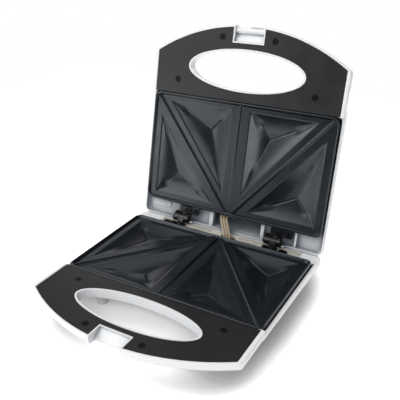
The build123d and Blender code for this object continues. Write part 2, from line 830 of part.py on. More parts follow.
# Base housing: shared shell, feet posts, hinge and cover bosses, deck corners and cord boss
foot_places = [(sx * foot_x, y) for sx in (-1, 1) for y in (foot_front_y, foot_rear_y)]
cover_screws = [(-cover_screw_x, cover_row), (cover_screw_x, cover_row)]
cover_front = plate_half_y + plate_gap
cover_z = -deck_drop - deck_thickness
base_floor = base.offset(-base_depth + shell_floor / 2)
base_rise = base_depth - shell_floor / 2
gland_place = [(-gland_x, -gland_drop)]
all_base_hinge_screws = base_hinge_screws(-hinge_x) + base_hinge_screws(hinge_x)
with BuildPart() as base_housing:
    add(housing_shell(base, base_depth, lower_lugs, foot_places))
    # The rear wall stops below the lid's path
    extrude(area(base.offset(-deck_drop), -shell_half_x, shell_half_x, cover_front, rear_outer),
            amount=deck_drop, mode=Mode.SUBTRACT)
    # Deck over the rear corners, open between them for the wiring cover
    extrude(ledge(base.offset(-deck_drop), cover_front, -cover_left - deck_gap, cover_right + deck_gap),
            amount=-deck_thickness)
    for centre in (-hinge_x, hinge_x):
        pillar = area(base_floor, centre - hinge_length / 2, centre + hinge_length / 2, leaf_y0, leaf_y1)
        extrude(pillar, amount=base_rise - deck_drop)
    extrude(discs(base.offset(-deck_drop), screw_shank_radius + screw_clearance, all_base_hinge_screws),
            amount=-screw_length, mode=Mode.SUBTRACT)
    extrude(discs(base_floor, boss_radius, cover_screws), amount=base_rise + cover_z)
    extrude(discs(base.offset(cover_z), screw_shank_radius + screw_clearance, cover_screws),
            amount=-screw_length, mode=Mode.SUBTRACT)
    extrude(discs(facing_rear(base, rear_outer), gland_boss_radius, gland_place), amount=-gland_boss_length)
    extrude(discs(facing_rear(base, rear_outer), gland_radius + gland_clearance, gland_place),
            amount=-gland_boss_length, mode=Mode.SUBTRACT)
    foot_seat = base.offset(-base_depth)
    extrude(discs(foot_seat, foot_stem_radius + foot_clearance, foot_places),
            amount=foot_stem_length + foot_clearance, mode=Mode.SUBTRACT)
write(base_housing.part, "base_housing")

# Feet, each with a stem in its post
with BuildPart() as feet:
    extrude(discs(foot_seat, foot_radius, foot_places), amount=-foot_height)
    extrude(discs(foot_seat, foot_stem_radius, foot_places), amount=foot_stem_length)
    chamfer(feet.faces().sort_by(Axis.Z)[:4].edges(), foot_chamfer)
write(feet.part, "feet")

# Cover over the wiring behind the lower plate, notched round the hinge feet and the sleeves
cover_rear = rear_inner - deck_gap
with BuildPart() as wiring_cover:
    sheet = area(base.offset(cover_z), -cover_left, cover_right, cover_front, cover_rear)
    extrude(sheet, amount=deck_thickness)
    for row in range(cover_rib_count):
        y = leaf_y1 + deck_gap + cover_rib_width + row * 2 * cover_rib_width
        for x0, x1 in ((-cover_left, -sleeve_slot_width), (sleeve_slot_width, cover_right)):
            rib = area(base.offset(-deck_drop), x0, x1, y - cover_rib_width / 2, y + cover_rib_width / 2)
            extrude(rib, amount=cover_rib_height)
    for centre in (-hinge_x, hinge_x):
        reach = hinge_length / 2 + deck_gap
        gap = area(base.offset(cover_z), centre - reach, centre + reach, cover_front, leaf_y1 + deck_gap)
        extrude(gap, amount=deck_thickness, mode=Mode.SUBTRACT)
        gap = area(base.offset(-deck_drop), centre - reach, centre + reach, cover_front, cover_rear)
        extrude(gap, amount=cover_rib_height, mode=Mode.SUBTRACT)
    for x, y in lower_lugs:
        reach = lug_width / 2 + deck_gap
        gap_end = plate_half_y + lug_reach + deck_gap
        gap = area(base.offset(cover_z), x - reach, x + reach, cover_front, gap_end)
        extrude(gap, amount=deck_thickness, mode=Mode.SUBTRACT)
    slot = area(base.offset(cover_z), sleeve_x - sleeve_slot_width / 2, sleeve_x + sleeve_slot_width / 2,
                cover_front, cover_front + sleeve_slot_depth)
    extrude(slot, amount=deck_thickness, mode=Mode.SUBTRACT)
    extrude(discs(base.offset(cover_z), screw_shank_radius + tongue_gap, cover_screws),
            amount=deck_thickness, mode=Mode.SUBTRACT)
write(wiring_cover.part, "wiring_cover")
write(screw(base.offset(-deck_drop), cover_screws, screw_length), "wiring_cover_screws")

# Cord gland in the rear wall, with a free bore for a mains lead
with BuildPart() as cord_gland:
    rear_plane = facing_rear(base, rear_outer)
    extrude(discs(rear_plane, gland_radius, gland_place), amount=-gland_boss_length)
    extrude(discs(rear_plane, gland_flange_radius, gland_place), amount=gland_flange)
    extrude(discs(rear_plane, gland_bore_radius, gland_place),
            amount=gland_boss_length + gland_flange, both=True, mode=Mode.SUBTRACT)
write(cord_gland.part, "cord_gland")

# Terminal block on the tub's floor
block_rear = plate_half_y + block_rear_gap
block_top = -base_depth + shell_floor + block_height
with BuildPart() as terminal_block:
    extrude(area(base.offset(block_top - block_height), -block_width / 2, block_width / 2,
                 block_rear - block_depth, block_rear), amount=block_height)
    fillet(terminal_block.edges().filter_by(Axis.Z), block_edge)
write(terminal_block.part, "terminal_block")

# Route of the wires from the block up through the cover and over the hinge line into the lid
sleeve_y = block_rear - sleeve_start_setback
lid_side_y = hinge_y + sleeve_lid_setback
sleeve_points = [
    (sleeve_x, sleeve_y, block_top + sleeve_gap),
    (sleeve_x, sleeve_y, block_top + sleeve_gap + sleeve_rise),
    (sleeve_x, plate_half_y + sleeve_exit_setback, -deck_drop),
    (sleeve_lid_x, lid_side_y, sleeve_lid_rise),
    (sleeve_lid_x, lid_side_y + sleeve_dive, sleeve_lid_rise),
    (sleeve_lid_x, lid_side_y + sleeve_dive + sleeve_end, sleeve_lid_rise - sleeve_fall),
]

# Lid housing: shared shell, open bays behind the plate, hinge and lamp bosses, lens holes
lamp_places = [(-lens_x, lens_y), (lens_x, lens_y)]
holder_screws = [(-holder_screw_x, lens_y), (holder_screw_x, lens_y)]
holder_z = -lid_depth + shell_floor + holder_lift
lid_floor = lid.offset(-lid_depth + shell_floor / 2)
lid_rise = lid_depth - shell_floor / 2
all_lid_hinge_screws = lid_hinge_screws(-hinge_x) + lid_hinge_screws(hinge_x)
leaf_back = -lid_leaf_drop - leaf_thickness
bay_front = plate_half_y - lip_width
rib_front = plate_half_y + deck_gap
with BuildPart() as lid_housing:
    add(housing_shell(lid, lid_depth, upper_lugs, []))
    extrude(ledge(lid.offset(-bay_depth), bay_front, -bay_right_edge, -bay_left_edge), amount=-bay_floor)
    ribs = [
        (bay_left_edge, bay_left_edge + bay_rib_left),
        (bay_right_edge - bay_rib_middle, bay_right_edge),
        (bay_rib_right_x, bay_rib_right_x + bay_rib_right),
    ]
    for x0, x1 in ribs:
        rib = area(lid.offset(-bay_depth - bay_floor), -x1, -x0, rib_front, rear_inner + wall_seam)
        extrude(rib, amount=bay_depth + bay_floor - bay_rib_drop)
    emboss = soft_area(lid.offset(-bay_depth), -emboss_x - emboss_width / 2, -emboss_x + emboss_width / 2,
                       plate_half_y + plate_gap, plate_half_y + plate_gap + emboss_depth, emboss_corner)
    extrude(emboss, amount=emboss_height)
    for centre in (-hinge_x, hinge_x):
        pillar = area(lid_floor, -centre - hinge_length / 2, -centre + hinge_length / 2 - lid_leaf_inset,
                      leaf_y0, leaf_y1)
        extrude(pillar, amount=lid_rise + leaf_back)
        reach = hinge_length / 2 + hinge_notch_margin + pin_head
        gap = area(lid, -centre - reach, -centre + reach, rear_inner - deck_gap, rear_outer)
        extrude(gap, amount=-deck_drop, mode=Mode.SUBTRACT)
    extrude(discs(lid.offset(leaf_back), screw_shank_radius + screw_clearance, all_lid_hinge_screws),
            amount=-screw_length, mode=Mode.SUBTRACT)
    extrude(discs(lid_floor, holder_boss_radius, holder_screws), amount=lid_rise + holder_z)
    extrude(discs(lid.offset(holder_z), screw_shank_radius + screw_clearance, holder_screws),
            amount=-holder_lift, mode=Mode.SUBTRACT)
    extrude(discs(lid.offset(-lid_depth), lens_radius + lens_clearance, lamp_places),
            amount=shell_floor, mode=Mode.SUBTRACT)
    # A post that holds the ends of the sleeved wires
    wire_end = lid.to_local_coords(base.from_local_coords(sleeve_points[-1]))
    post = area(lid_floor, wire_end.X - anchor_width / 2, wire_end.X + anchor_width / 2,
                wire_end.Y - anchor_depth / 2, wire_end.Y + anchor_depth / 2)
    extrude(post, amount=lid_rise + wire_end.Z - sleeve_gap - sleeve_fall * sleeve_radius / sleeve_end)
    pin_hole = notch_width / 2 + latch_pin_seat
    extrude(discs(across(lid, 0), latch_pin_radius, [latch_pivot]),
            amount=pin_hole, both=True, mode=Mode.SUBTRACT)
write(lid_housing.part, "lid_housing")

# Pilot lamps: lenses in the lid's top, lamps behind them in a holder on two bosses
for name, place in (("power_lens", lamp_places[0]), ("ready_lens", lamp_places[1])):
    with BuildPart() as lens:
        outside = lid.offset(-lid_depth)
        extrude(discs(outside, lens_radius, [place]), amount=shell_floor)
        extrude(discs(outside, lens_flange_radius, [place]), amount=-lens_flange)
        rim = lens.faces().sort_by(Axis(lid.origin, lid.z_dir))[0]
        fillet(rim.edges(), lens_edge)
    write(lens.part, name)

lamp_front = -lid_depth + shell_floor + lamp_gap
with BuildPart() as neon_lamps:
    extrude(discs(lid.offset(lamp_front), lamp_radius, lamp_places), amount=lamp_length)
    fillet(neon_lamps.faces().sort_by(Axis(lid.origin, lid.z_dir))[:2].edges(), lamp_dome)
write(neon_lamps.part, "neon_lamps")

with BuildPart() as lamp_holder:
    extrude(soft_area(lid.offset(holder_z), -holder_length / 2, holder_length / 2, lens_y - holder_width / 2,
                      lens_y + holder_width / 2, holder_boss_radius), amount=holder_thickness)
    extrude(discs(lid.offset(holder_z), lamp_radius + lamp_clearance, lamp_places),
            amount=holder_thickness, mode=Mode.SUBTRACT)
    extrude(discs(lid.offset(holder_z), screw_shank_radius + tongue_gap, holder_screws),
            amount=holder_thickness, mode=Mode.SUBTRACT)
write(lamp_holder.part, "lamp_holder")
holder_screw_length = holder_thickness + holder_lift - shell_floor / 2
holder_top = lid.offset(holder_z + holder_thickness)
write(screw(holder_top, holder_screws, holder_screw_length), "lamp_holder_screws")

# Thermostat on the upper plate's back, pressed on by a strap with two screws
thermostat_back = plate_back - thermostat_height
thermostat_posts = [(0, -thermostat_post_y), (0, thermostat_post_y)]
with BuildPart() as thermostat:
    extrude(discs(lid.offset(plate_back), thermostat_radius, [(0, 0)]), amount=-thermostat_height)
    fillet(thermostat.faces().sort_by(Axis(lid.origin, lid.z_dir))[0].edges(), screw_head_height)
write(thermostat.part, "thermostat")

strap_reach = thermostat_post_y + thermostat_strap_width / 2
with BuildPart() as thermostat_strap:
    extrude(area(lid.offset(thermostat_back), -thermostat_strap_width / 2, thermostat_strap_width / 2,
                 -strap_reach, strap_reach), amount=-thermostat_strap_thickness)
    extrude(discs(lid.offset(thermostat_back), screw_shank_radius + tongue_gap, thermostat_posts),
            amount=-thermostat_strap_thickness, mode=Mode.SUBTRACT)
write(thermostat_strap.part, "thermostat_strap")
strap_back = thermostat_back - thermostat_strap_thickness
write(hidden_screws(lid, strap_back, thermostat_posts), "thermostat_screws")

# Plates, trims, elements and their fixings, alike in both halves
upper_posts = [(thermostat_posts, thermostat_post_radius, thermostat_back)]
halves = ((base, "base", "lower", lower_lugs, []), (lid, "lid", "upper", upper_lugs, upper_posts))
for half, where, side, lugs, posts in halves:
    write(cooking_plate(half, lugs, posts), f"{side}_cooking_plate")
    lug_top = half.offset(plate_back + lug_thickness)
    write(screw(lug_top, lugs, screw_length), f"{side}_plate_screws")
    write(handle_trim(half), f"{where}_handle_trim")
    trim_seat = half.offset(trim_top - trim_recess_depth)
    write(screw(trim_seat, trim_screws, screw_length), f"{where}_trim_screws")
    write(heating_element(half), f"{side}_heating_element")
    write(element_terminals(half), f"{side}_element_terminals")
    write(element_clamps(half), f"{side}_element_clamps")
    write(heat_reflector(half), f"{side}_heat_reflector")
    write(hidden_screws(half, reflector_back, clamp_posts), f"{side}_clamp_screws")

# Hinges
for centre, hand in ((-hinge_x, "left"), (hinge_x, "right")):
    write(base_hinge_bracket(centre), f"base_hinge_bracket_{hand}")
    write(lid_hinge_bracket(centre), f"lid_hinge_bracket_{hand}")
    write(hinge_pin(centre), f"hinge_pin_{hand}")
base_leaf_top = base.offset(leaf_thickness - deck_drop)
write(screw(base_leaf_top, all_base_hinge_screws, screw_length), "base_hinge_screws")
write(screw(lid.offset(-lid_leaf_drop), all_lid_hinge_screws, screw_length), "lid_hinge_screws")

# Latch: a pin across the lid's notch and a clip that swings over the front
with BuildPart() as latch_pin:
    extrude(discs(across(lid, 0), latch_pin_radius, [latch_pivot]), amount=pin_hole, both=True)
write(latch_pin.part, "latch_pin")

hook_end = -latch_pivot_drop - latch_reach
clip_profile = [
    (latch_y, -latch_pivot_drop),
    (latch_y + latch_arm, -latch_pivot_drop),
    (latch_y + latch_arm, hook_end),
    (latch_y - latch_hook, hook_end),
    (latch_y - latch_hook, hook_end + latch_hook_thickness),
    (latch_y, hook_end + latch_hook_thickness),
]
barrel_half = notch_width / 2 - latch_side_gap
with BuildPart() as latch_clip:
    middle_plane = across(lid, 0)
    extrude(polygon(middle_plane, clip_profile), amount=latch_width / 2, both=True)
    extrude(discs(middle_plane, latch_barrel_radius, [latch_pivot]), amount=barrel_half, both=True)
    extrude(discs(middle_plane, latch_pin_radius + latch_pin_clearance, [latch_pivot]),
            amount=barrel_half, both=True, mode=Mode.SUBTRACT)
write(latch_clip.part, "latch_clip")

# Sleeved wires from the terminal block over the hinge line into the lid
with BuildPart() as wire_sleeves:
    for index in range(sleeve_count):
        step = (index - (sleeve_count - 1) / 2) * sleeve_pitch
        corners = [base.from_local_coords((x + step, y, z)) for x, y, z in sleeve_points]
        radii = []
        for before, here, after in zip(corners, corners[1:], corners[2:]):
            turn = math.radians((here - before).get_angle(after - here))
            run = min((here - before).length, (after - here).length)
            radii.append(sleeve_bend_share * run / math.tan(turn / 2))
        with BuildLine() as route:
            FilletPolyline(*corners, radius=radii)
        with BuildSketch(Plane(origin=route.line @ 0, z_dir=route.line % 0)) as ring:
            Circle(sleeve_radius)
        sweep(ring.sketch, path=route.line)
write(wire_sleeves.part, "wire_sleeves")
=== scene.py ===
"""Dresses an open sandwich maker: cast plates, braided wire sleeves, finishes, light and camera.

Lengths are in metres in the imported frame: x runs along the hinge to the right, y from the handle to the
hinge, and z up.
"""

import json
import math

import bpy
import numpy as np
from bpy.props import FloatProperty, FloatVectorProperty, IntProperty, PointerProperty
from mathutils import Matrix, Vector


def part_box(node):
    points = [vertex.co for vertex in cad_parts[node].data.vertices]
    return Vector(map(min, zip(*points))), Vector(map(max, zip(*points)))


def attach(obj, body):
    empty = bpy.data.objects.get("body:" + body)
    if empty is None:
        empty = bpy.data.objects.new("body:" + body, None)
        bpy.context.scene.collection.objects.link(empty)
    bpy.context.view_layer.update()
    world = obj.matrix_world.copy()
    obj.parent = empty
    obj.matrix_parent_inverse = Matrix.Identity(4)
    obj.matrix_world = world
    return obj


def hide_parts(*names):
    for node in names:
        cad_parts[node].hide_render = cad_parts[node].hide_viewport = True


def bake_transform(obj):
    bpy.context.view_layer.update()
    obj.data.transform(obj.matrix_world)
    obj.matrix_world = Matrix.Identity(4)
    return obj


bl_info = {
    "name": "Sandwich maker",
    "version": (1, 0, 0),
    "blender": (4, 5, 0),
    "location": "3D View > Sidebar > Sandwich maker",
    "description": "Dresses the open sandwich maker with its plates, sleeves, finishes and studio",
    "category": "Object",
}

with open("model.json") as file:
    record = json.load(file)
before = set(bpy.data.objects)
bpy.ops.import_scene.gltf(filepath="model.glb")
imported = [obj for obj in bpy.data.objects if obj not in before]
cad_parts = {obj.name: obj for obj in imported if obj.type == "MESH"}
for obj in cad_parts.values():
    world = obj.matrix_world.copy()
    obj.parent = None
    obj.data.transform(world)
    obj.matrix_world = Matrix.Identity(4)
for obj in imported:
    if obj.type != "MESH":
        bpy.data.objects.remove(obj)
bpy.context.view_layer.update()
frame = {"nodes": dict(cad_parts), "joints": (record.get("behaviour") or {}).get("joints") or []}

MM = 0.001
hinge = next(joint for joint in frame["joints"] if joint["name"] == "lid_hinge")
hinge_place = np.array(hinge["pos_m"])
open_turn = math.radians(-hinge["range_deg"][0])
plate_low, plate_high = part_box("lower_cooking_plate")

# CAD nodes that share a finish
HANDLE_TRIMS = ("base_handle_trim", "lid_handle_trim")
HINGE_BRACKETS = (
    "base_hinge_bracket_left", "base_hinge_bracket_right",
    "lid_hinge_bracket_left", "lid_hinge_bracket_right",
)
BLACK_STEEL = (
    "base_trim_screws", "lid_trim_screws", "base_hinge_screws", "lid_hinge_screws", "lower_plate_screws",
    "upper_plate_screws", "hinge_pin_left", "hinge_pin_right",
)
ZINC_STEEL = (
    "lower_clamp_screws", "upper_clamp_screws", "thermostat_screws", "lamp_holder_screws", "latch_pin",
    "lower_element_terminals", "upper_element_terminals",
)

# Pockets, as shares of the way from the mouth to the lowest point: where the fine creases begin, the run in
# which they grow sharp, and the run in which the softness by the corners grows to its full
CREASE_START = 0.32
CREASE_RUN = 0.3
CORNER_RUN = 0.3

# Flanks of the ridges and the lip, as shares of half a ridge and of the lip
RIDGE_FLANK = 0.84
LIP_FLANK = 0.5

# Softness of the corners of lugs and tongues
LUG_SOFTNESS = 0.0016
TONGUE_SOFTNESS = 0.0005

# Meshes: turns that stay sharp, stations over a rounded edge, sides of a sleeve, and a sleeve's rounded end:
# its number of rings, the first one's turn from the tip, and its height by the radius
SHARP_TURN = math.radians(38)
SLEEVE_SHARP_TURN = math.radians(70)
EDGE_STATIONS = 4
SLEEVE_SIDES = 20
CAP_RINGS = 3
CAP_FIRST = 0.12
CAP_HEIGHT = 0.3

# Turns this near to a sleeve's seam count on past 1 in the faces that cross it
SEAM_SHARE = 0.1

# Keeps a division from zero
TINY = 1e-6

# Middle sleeve's control points in the base's own frame, in millimetres
SLEEVE_ROUTE = (
    (6.5, 66.0, -19.1), (6.5, 66.0, -12.6), (6.5, 72.0, -6.1),
    (-6.5, 84.8, 10.6), (-6.5, 93.5, 10.6), (-6.5, 101.0, 7.1),
)

# Yarns of the braid each way; the real one has about 16, drawn coarser so that it shows
BRAID_YARNS = 8

# Painted shade in recesses, by the tint, in red, green and blue
RECESS_SHADE = (0.20, 0.235, 0.28)

# Painted glow on the floor seen through the lower handle's opening: middle, and half its size along
# and across the hinge
PATCH_X, PATCH_Y = -0.015, -0.072
PATCH_ALONG, PATCH_ACROSS = 0.10, 0.040

# A lamp's axis this near to upright takes its sides from y and not from z
STEEP = 0.95

# Lamps: power's setting, place, aim, width and height
OBJECT_MIDDLE = (0, 0.05, 0.12)
LAMPS = (
    ("overhead", (-0.1, 0.1, 1.5), (0, 0, 0), 1.6, 1.2),
    ("left", (-0.78, -0.73, 1.13), OBJECT_MIDDLE, 1.0, 1.2),
    ("front", (0.36, -1.0, 1.0), OBJECT_MIDDLE, 0.6, 0.5),
    ("side", (-1.0, -0.18, 0.72), (0, 0, 0.05), 0.6, 0.5),
    ("low", (-0.8, -1.0, 0.2), (0, 0.05, 0.2), 0.5, 0.25),
    ("behind", (-0.72, 1.25, 0.74), (0, -0.1, 0.04), 1.2, 0.8),
    ("rear", (0.4, 1.3, 0.9), OBJECT_MIDDLE, 1.0, 0.8),
    ("right", (0.63, -1.10, 0.26), OBJECT_MIDDLE, 0.74, 0.34),
)


def linear(code):
    """A colour's sRGB hex code as linear red, green and blue."""
    levels = [int(code[i:i + 2], 16) / 255 for i in (1, 3, 5)]
    return tuple(v / 12.92 if v <= 0.04045 else ((v + 0.055) / 1.055) ** 2.4 for v in levels)


def length(label, about, default):
    """A length property in metres."""
    return FloatProperty(
        name=label, description=about, default=default, min=0.0, precision=5, unit="LENGTH")


def factor(label, about, default):
    """A plain number property."""
    return FloatProperty(name=label, description=about, default=default)


def angle(label, about, degrees):
    """An angle property from degrees."""
    return FloatProperty(name=label, description=about, default=math.radians(degrees), subtype="ANGLE")


def power(label, about, watts):
    """A lamp's power property in watts."""
    return FloatProperty(name=label, description=about, default=watts, unit="POWER")


def colour(label, about, code):
    """A colour property from an sRGB hex code."""
    return FloatVectorProperty(
        name=label, description=about, default=linear(code), min=0.0, max=1.0, subtype="COLOR")


class PlateSizes(bpy.types.PropertyGroup):
    """Sizes of both cooking plates."""

    width: length("Width", "Plate's size along the hinge", plate_high.x - plate_low.x)
    depth: length("Depth", "Plate's size from handle to hinge, without lugs and tongues", 0.127)
    corner: length("Corner", "Radius of the plate's corners", 0.0075)
    hinge_setback: length("Hinge setback", "From the plate's rear edge to the hinge's axis", 0.0154)
    lip_gap: length("Lip gap", "Lip's top below the parting plane", 0.0003)
    lip_height: length("Lip height", "Lip's top over the land", 0.0027)
    lip_width: length("Lip width", "Lip's width at its foot", 0.0040)
    lip_round: length("Lip rounding", "Radius of the lip's outer edge", 0.0013)
    skin: length("Skin", "Thickness of the casting", 0.0034)
    side_margin: length("Side margin", "From the plate's side to the outer pockets", 0.011)
    end_margin: length("End margin", "From the plate's front and rear to the pockets", 0.0085)
    centre_margin: length("Centre margin", "From the middle to the inner pockets", 0.012)
    gap_x: length("Gap along", "Pocket corner's distance from its cell's corner along the hinge", 0.01075)
    gap_y: length("Gap across", "Pocket corner's distance from its cell's corner across the hinge", 0.0175)
    apex_shift: length("Apex shift", "Lowest point from the inner circle's centre to the middle", 0.002)
    wall_slope: factor("Wall slope", "Fall of a pocket's wall by its run", 0.56)
    facet_drop: length("Facet start", "Depth at which the facets would meet the pocket's mouth", 0.0038)
    facet_fall: length("Facet fall", "Further depth of the facets at the lowest point", 0.0035)
    wall_foot: length("Wall foot", "Softness of the turn from wall to facet", 0.0042)
    back_grow: length("Back growth", "How far the pockets' backs stand outside their mouths", 0.0012)
    mouth_round: length("Mouth rounding", "Half the width of the soft edge round a pocket", 0.0012)
    crease_outer: length("Outer crease", "Softness of the creases near a pocket's corners", 0.010)
    corner_share: factor("Corner share", "Share of that softness left at the mouth", 0.16)
    crease_inner: length("Inner crease", "Softness of the creases at a pocket's lowest point", 0.0004)
    crease_depth: length("Crease depth", "Depth of the fine line along the inner creases", 0.0008)
    crease_width: length("Crease width", "Half the width of that line", 0.0012)
    ridge_width: length("Ridge width", "Foot of the dividing ridges", 0.0034)
    ridge_height: length("Ridge height", "Dividing ridges over the land", 0.0022)
    ridge_offset: length("Ridge offset", "From the middle to the slanting ridges' rear ends", 0.003)
    lug_inset: length("Lug inset", "From the plate's side to the middle of a lug", 0.037)
    upper_lug_inset: length("Upper lug inset", "The same for the upper plate's lug on the left", 0.067)
    lug_width: length("Lug width", "Width of a rear lug", 0.009)
    lug_reach: length("Lug reach", "Lug's length behind the plate", 0.010)
    lug_thickness: length("Lug thickness", "Thickness of lugs and tongues", 0.0024)
    lug_hole: length("Lug hole", "Radius of the screw hole in a lug", 0.0018)
    tongue_inset: length("Tongue inset", "From the plate's side to the middle of a tongue", 0.050)
    tongue_width: length("Tongue width", "Width of a front tongue", 0.020)
    tongue_reach: length("Tongue reach", "Tongue's length before the plate", 0.0025)
    clamp_inset: length("Clamp inset", "From the plate's side to the clamp posts", 0.062)
    clamp_across: length("Clamp post", "Clamp posts' distance from the middle across the hinge", 0.013)
    post_radius: length("Post radius", "Radius of the posts on the plate's back", 0.0036)
    post_end: length("Post end", "Clamp posts' ends below the parting plane", 0.0212)
    pad_radius: length("Pad radius", "Radius of the pads under the heating element", 0.005)
    pad_drop: length("Pad drop", "Pads below the pockets' backs", 0.0006)
    step: length("Step", "Distance between the points of the plate's surface", 0.00064)


class SleeveSizes(bpy.types.PropertyGroup):
    """Sizes of the wire sleeves that cross the hinge."""

    radius: length("Radius", "Radius of one sleeve", 0.0014)
    pitch: length("Pitch", "Distance between sleeves", 0.0035)
    count: IntProperty(name="Count", description="Number of sleeves", default=3, min=1)
    braid: length("Braid", "Length of one turn of the braid's yarns", 0.0056)


class FinishColours(bpy.types.PropertyGroup):
    """Colours of the finishes."""

    housing: colour("Housing", "White gloss mouldings", "#F3F4F5")
    trim: colour("Trim", "Dark handle inserts", "#171617")
    coating: colour("Coating", "Non-stick coating of the plates", "#101317")
    speckle: colour("Speckle", "Fine light speckle in the coating", "#282E35")
    lacquer: colour("Lacquer", "Hinge brackets", "#0B0B0C")
    phosphate: colour("Phosphate", "Black screws and hinge pins", "#050506")
    zinc: colour("Zinc", "Plated screws, terminals and latch pin", "#B8BABC")
    sheath: colour("Sheath", "Heating elements", "#7B756B")
    aluminium: colour("Aluminium", "Heat reflectors", "#C9CBCD")
    galvanised: colour("Galvanised", "Clamps and strap", "#A9ADAF")
    foot: colour("Feet", "White rubber feet", "#E4E5E4")
    gland: colour("Gland", "Grey rubber gland", "#8F908E")
    thermoset: colour("Thermoset", "Terminal block and lamp holder", "#CDBE9C")
    phenolic: colour("Phenolic", "Thermostat body", "#3A2619")
    braid: colour("Braid", "Wire sleeves", "#B4A58C")
    cover: colour("Cover", "Cover over the wiring behind the lower plate", "#D6D1C5")
    red_lens: colour("Red lens", "Power lamp", "#C4150F")
    green_lens: colour("Green lens", "Ready lamp", "#1E8A2C")
    neon: colour("Neon", "Lamp glass", "#F0C9A0")
    floor: colour("Floor", "Studio floor", "#F4F4F5")


class StudioSettings(bpy.types.PropertyGroup):
    """Camera, floor and light."""

    focal: FloatProperty(
        name="Focal length", description="Camera's focal length in millimetres", default=52.70,
        unit="CAMERA")
    azimuth: angle("Azimuth", "Camera to the right of the front", 30.1685)
    elevation: angle("Elevation", "Camera over the horizon", 26.3856)
    roll: angle("Roll", "Camera's turn about its view", -0.7995)
    place: FloatVectorProperty(
        name="Camera place", description="Camera from the lower plate's middle",
        default=(0.267257, -0.437660, 0.325288), subtype="TRANSLATION")
    floor_size: length("Floor size", "Width of the studio floor", 1.6)
    # Lift and shadow paint a shadow on the floor round the object, and patch paints a glow below the lower
    # handle's opening
    lift: factor("Floor lift", "Floor's own white close to the object, to the camera", 0.06)
    patch: factor("Floor patch", "The same below the lower handle's opening", 0.50)
    shadow: length("Shadow", "Width of the soft shadow round the object", 0.045)
    ambient: factor("Ambient", "Strength of the white room", 0.16)
    overhead: power("Overhead", "Power of the lamp above", 5.2)
    left: power("Left", "Power of the large lamp on the left", 9.4)
    front: power("Front", "Power of the lamp over the camera", 2.0)
    side: power("Side", "Power of the small lamp on the left", 3.0)
    low: power("Low", "Power of the low lamp on the left", 1.0)
    behind: power("Behind", "Power of the dim lamp behind on the left", 1.6)
    rear: power("Rear", "Power of the lamp behind", 7.0)
    right: power("Right", "Power of the low lamp on the right", 3.8)


def half_matrix(half):
    """Turn and place of the base's or the lid's own frame.

    Its origin is the middle of the half's plate on the parting plane, and a point goes to
    hinge + turn * (point - hinge's place in that frame). The lid is turned over and swung up.
    """
    sizes = bpy.context.scene.maker_plates
    back = np.array([0, sizes.depth / 2 + sizes.hinge_setback, 0])
    if half == "base":
        turn = np.eye(3)
    else:
        cosine, sine = math.cos(open_turn), math.sin(open_turn)
        turn = np.array([[-1, 0, 0], [0, cosine, -sine], [0, -sine, -cosine]])
    return turn, hinge_place - turn @ back


def grid_faces(rows, columns, close_columns=False):
    """Quads of a grid of points in row order, with its last column joined to its first where asked."""
    gaps = columns if close_columns else columns - 1
    row, column = np.meshgrid(np.arange(rows - 1), np.arange(gaps), indexing="ij")
    here, above = row * columns, (row + 1) * columns
    after = (column + 1) % columns
    return np.stack((here + column, here + after, above + after, above + column), axis=-1).reshape(-1, 4)


def put_piece(name, shells, sharp):
    """One smooth mesh object at the origin from closed shells of points and faces, with its sharp turns."""
    points, faces, first = [], [], 0
    for shell_points, shell_faces in shells:
        points.append(shell_points)
        for group in shell_faces:
            faces += (np.asarray(group) + first).tolist()
        first += len(shell_points)
    mesh = bpy.data.meshes.new(name)
    mesh.from_pydata(np.concatenate(points), [], faces)
    mesh.shade_smooth()
    mesh.set_sharp_from_angle(angle=sharp)
    piece = bpy.data.objects.new(name, mesh)
    bpy.context.scene.collection.objects.link(piece)
    return piece


def soft_step(t):
    """0 below 0, 1 above 1, and the smooth cubic 3tt - 2ttt between."""
    t = np.clip(t, 0, 1)
    return t * t * (3 - 2 * t)


def soft_least(a, b, soft):
    """The lesser of a and b, rounded by a parabola where they differ by less than soft."""
    near = np.maximum(soft - np.abs(a - b), 0) / soft
    return np.minimum(a, b) - near * near * soft / 4


def pocket_corners(sizes):
    """Corners of the four triangular pockets, two in each cell, counterclockwise."""
    inner, outer = sizes.centre_margin, sizes.width / 2 - sizes.side_margin
    far = sizes.depth / 2 - sizes.end_margin
    rear = np.array([(outer, far), (inner + sizes.gap_x, far), (outer, sizes.gap_y - far)])
    front = np.array([(inner, -far), (outer - sizes.gap_x, -far), (inner, far - sizes.gap_y)])
    mirror = np.array([-1, 1])
    return [rear, front, (rear * mirror)[::-1], (front * mirror)[::-1]]


def pocket_apex(corners, sizes):
    """A pocket's lowest point in plan and its distances from the three sides.

    The point is the centre of the inner circle, which is the mean of the corners weighted by the sides
    across from them, moved towards the plate's middle by the apex shift.
    """
    sides = np.linalg.norm(np.roll(corners, 1, 0) - np.roll(corners, -1, 0), axis=1)
    centre = sides @ corners / sides.sum()
    apex = centre - (0, math.copysign(sizes.apex_shift, centre[1]))
    ahead = np.roll(corners, -1, 0) - corners
    ahead /= np.linalg.norm(ahead, axis=1)[:, None]
    return apex, ahead[:, 0] * (apex[1] - corners[:, 1]) - ahead[:, 1] * (apex[0] - corners[:, 0])


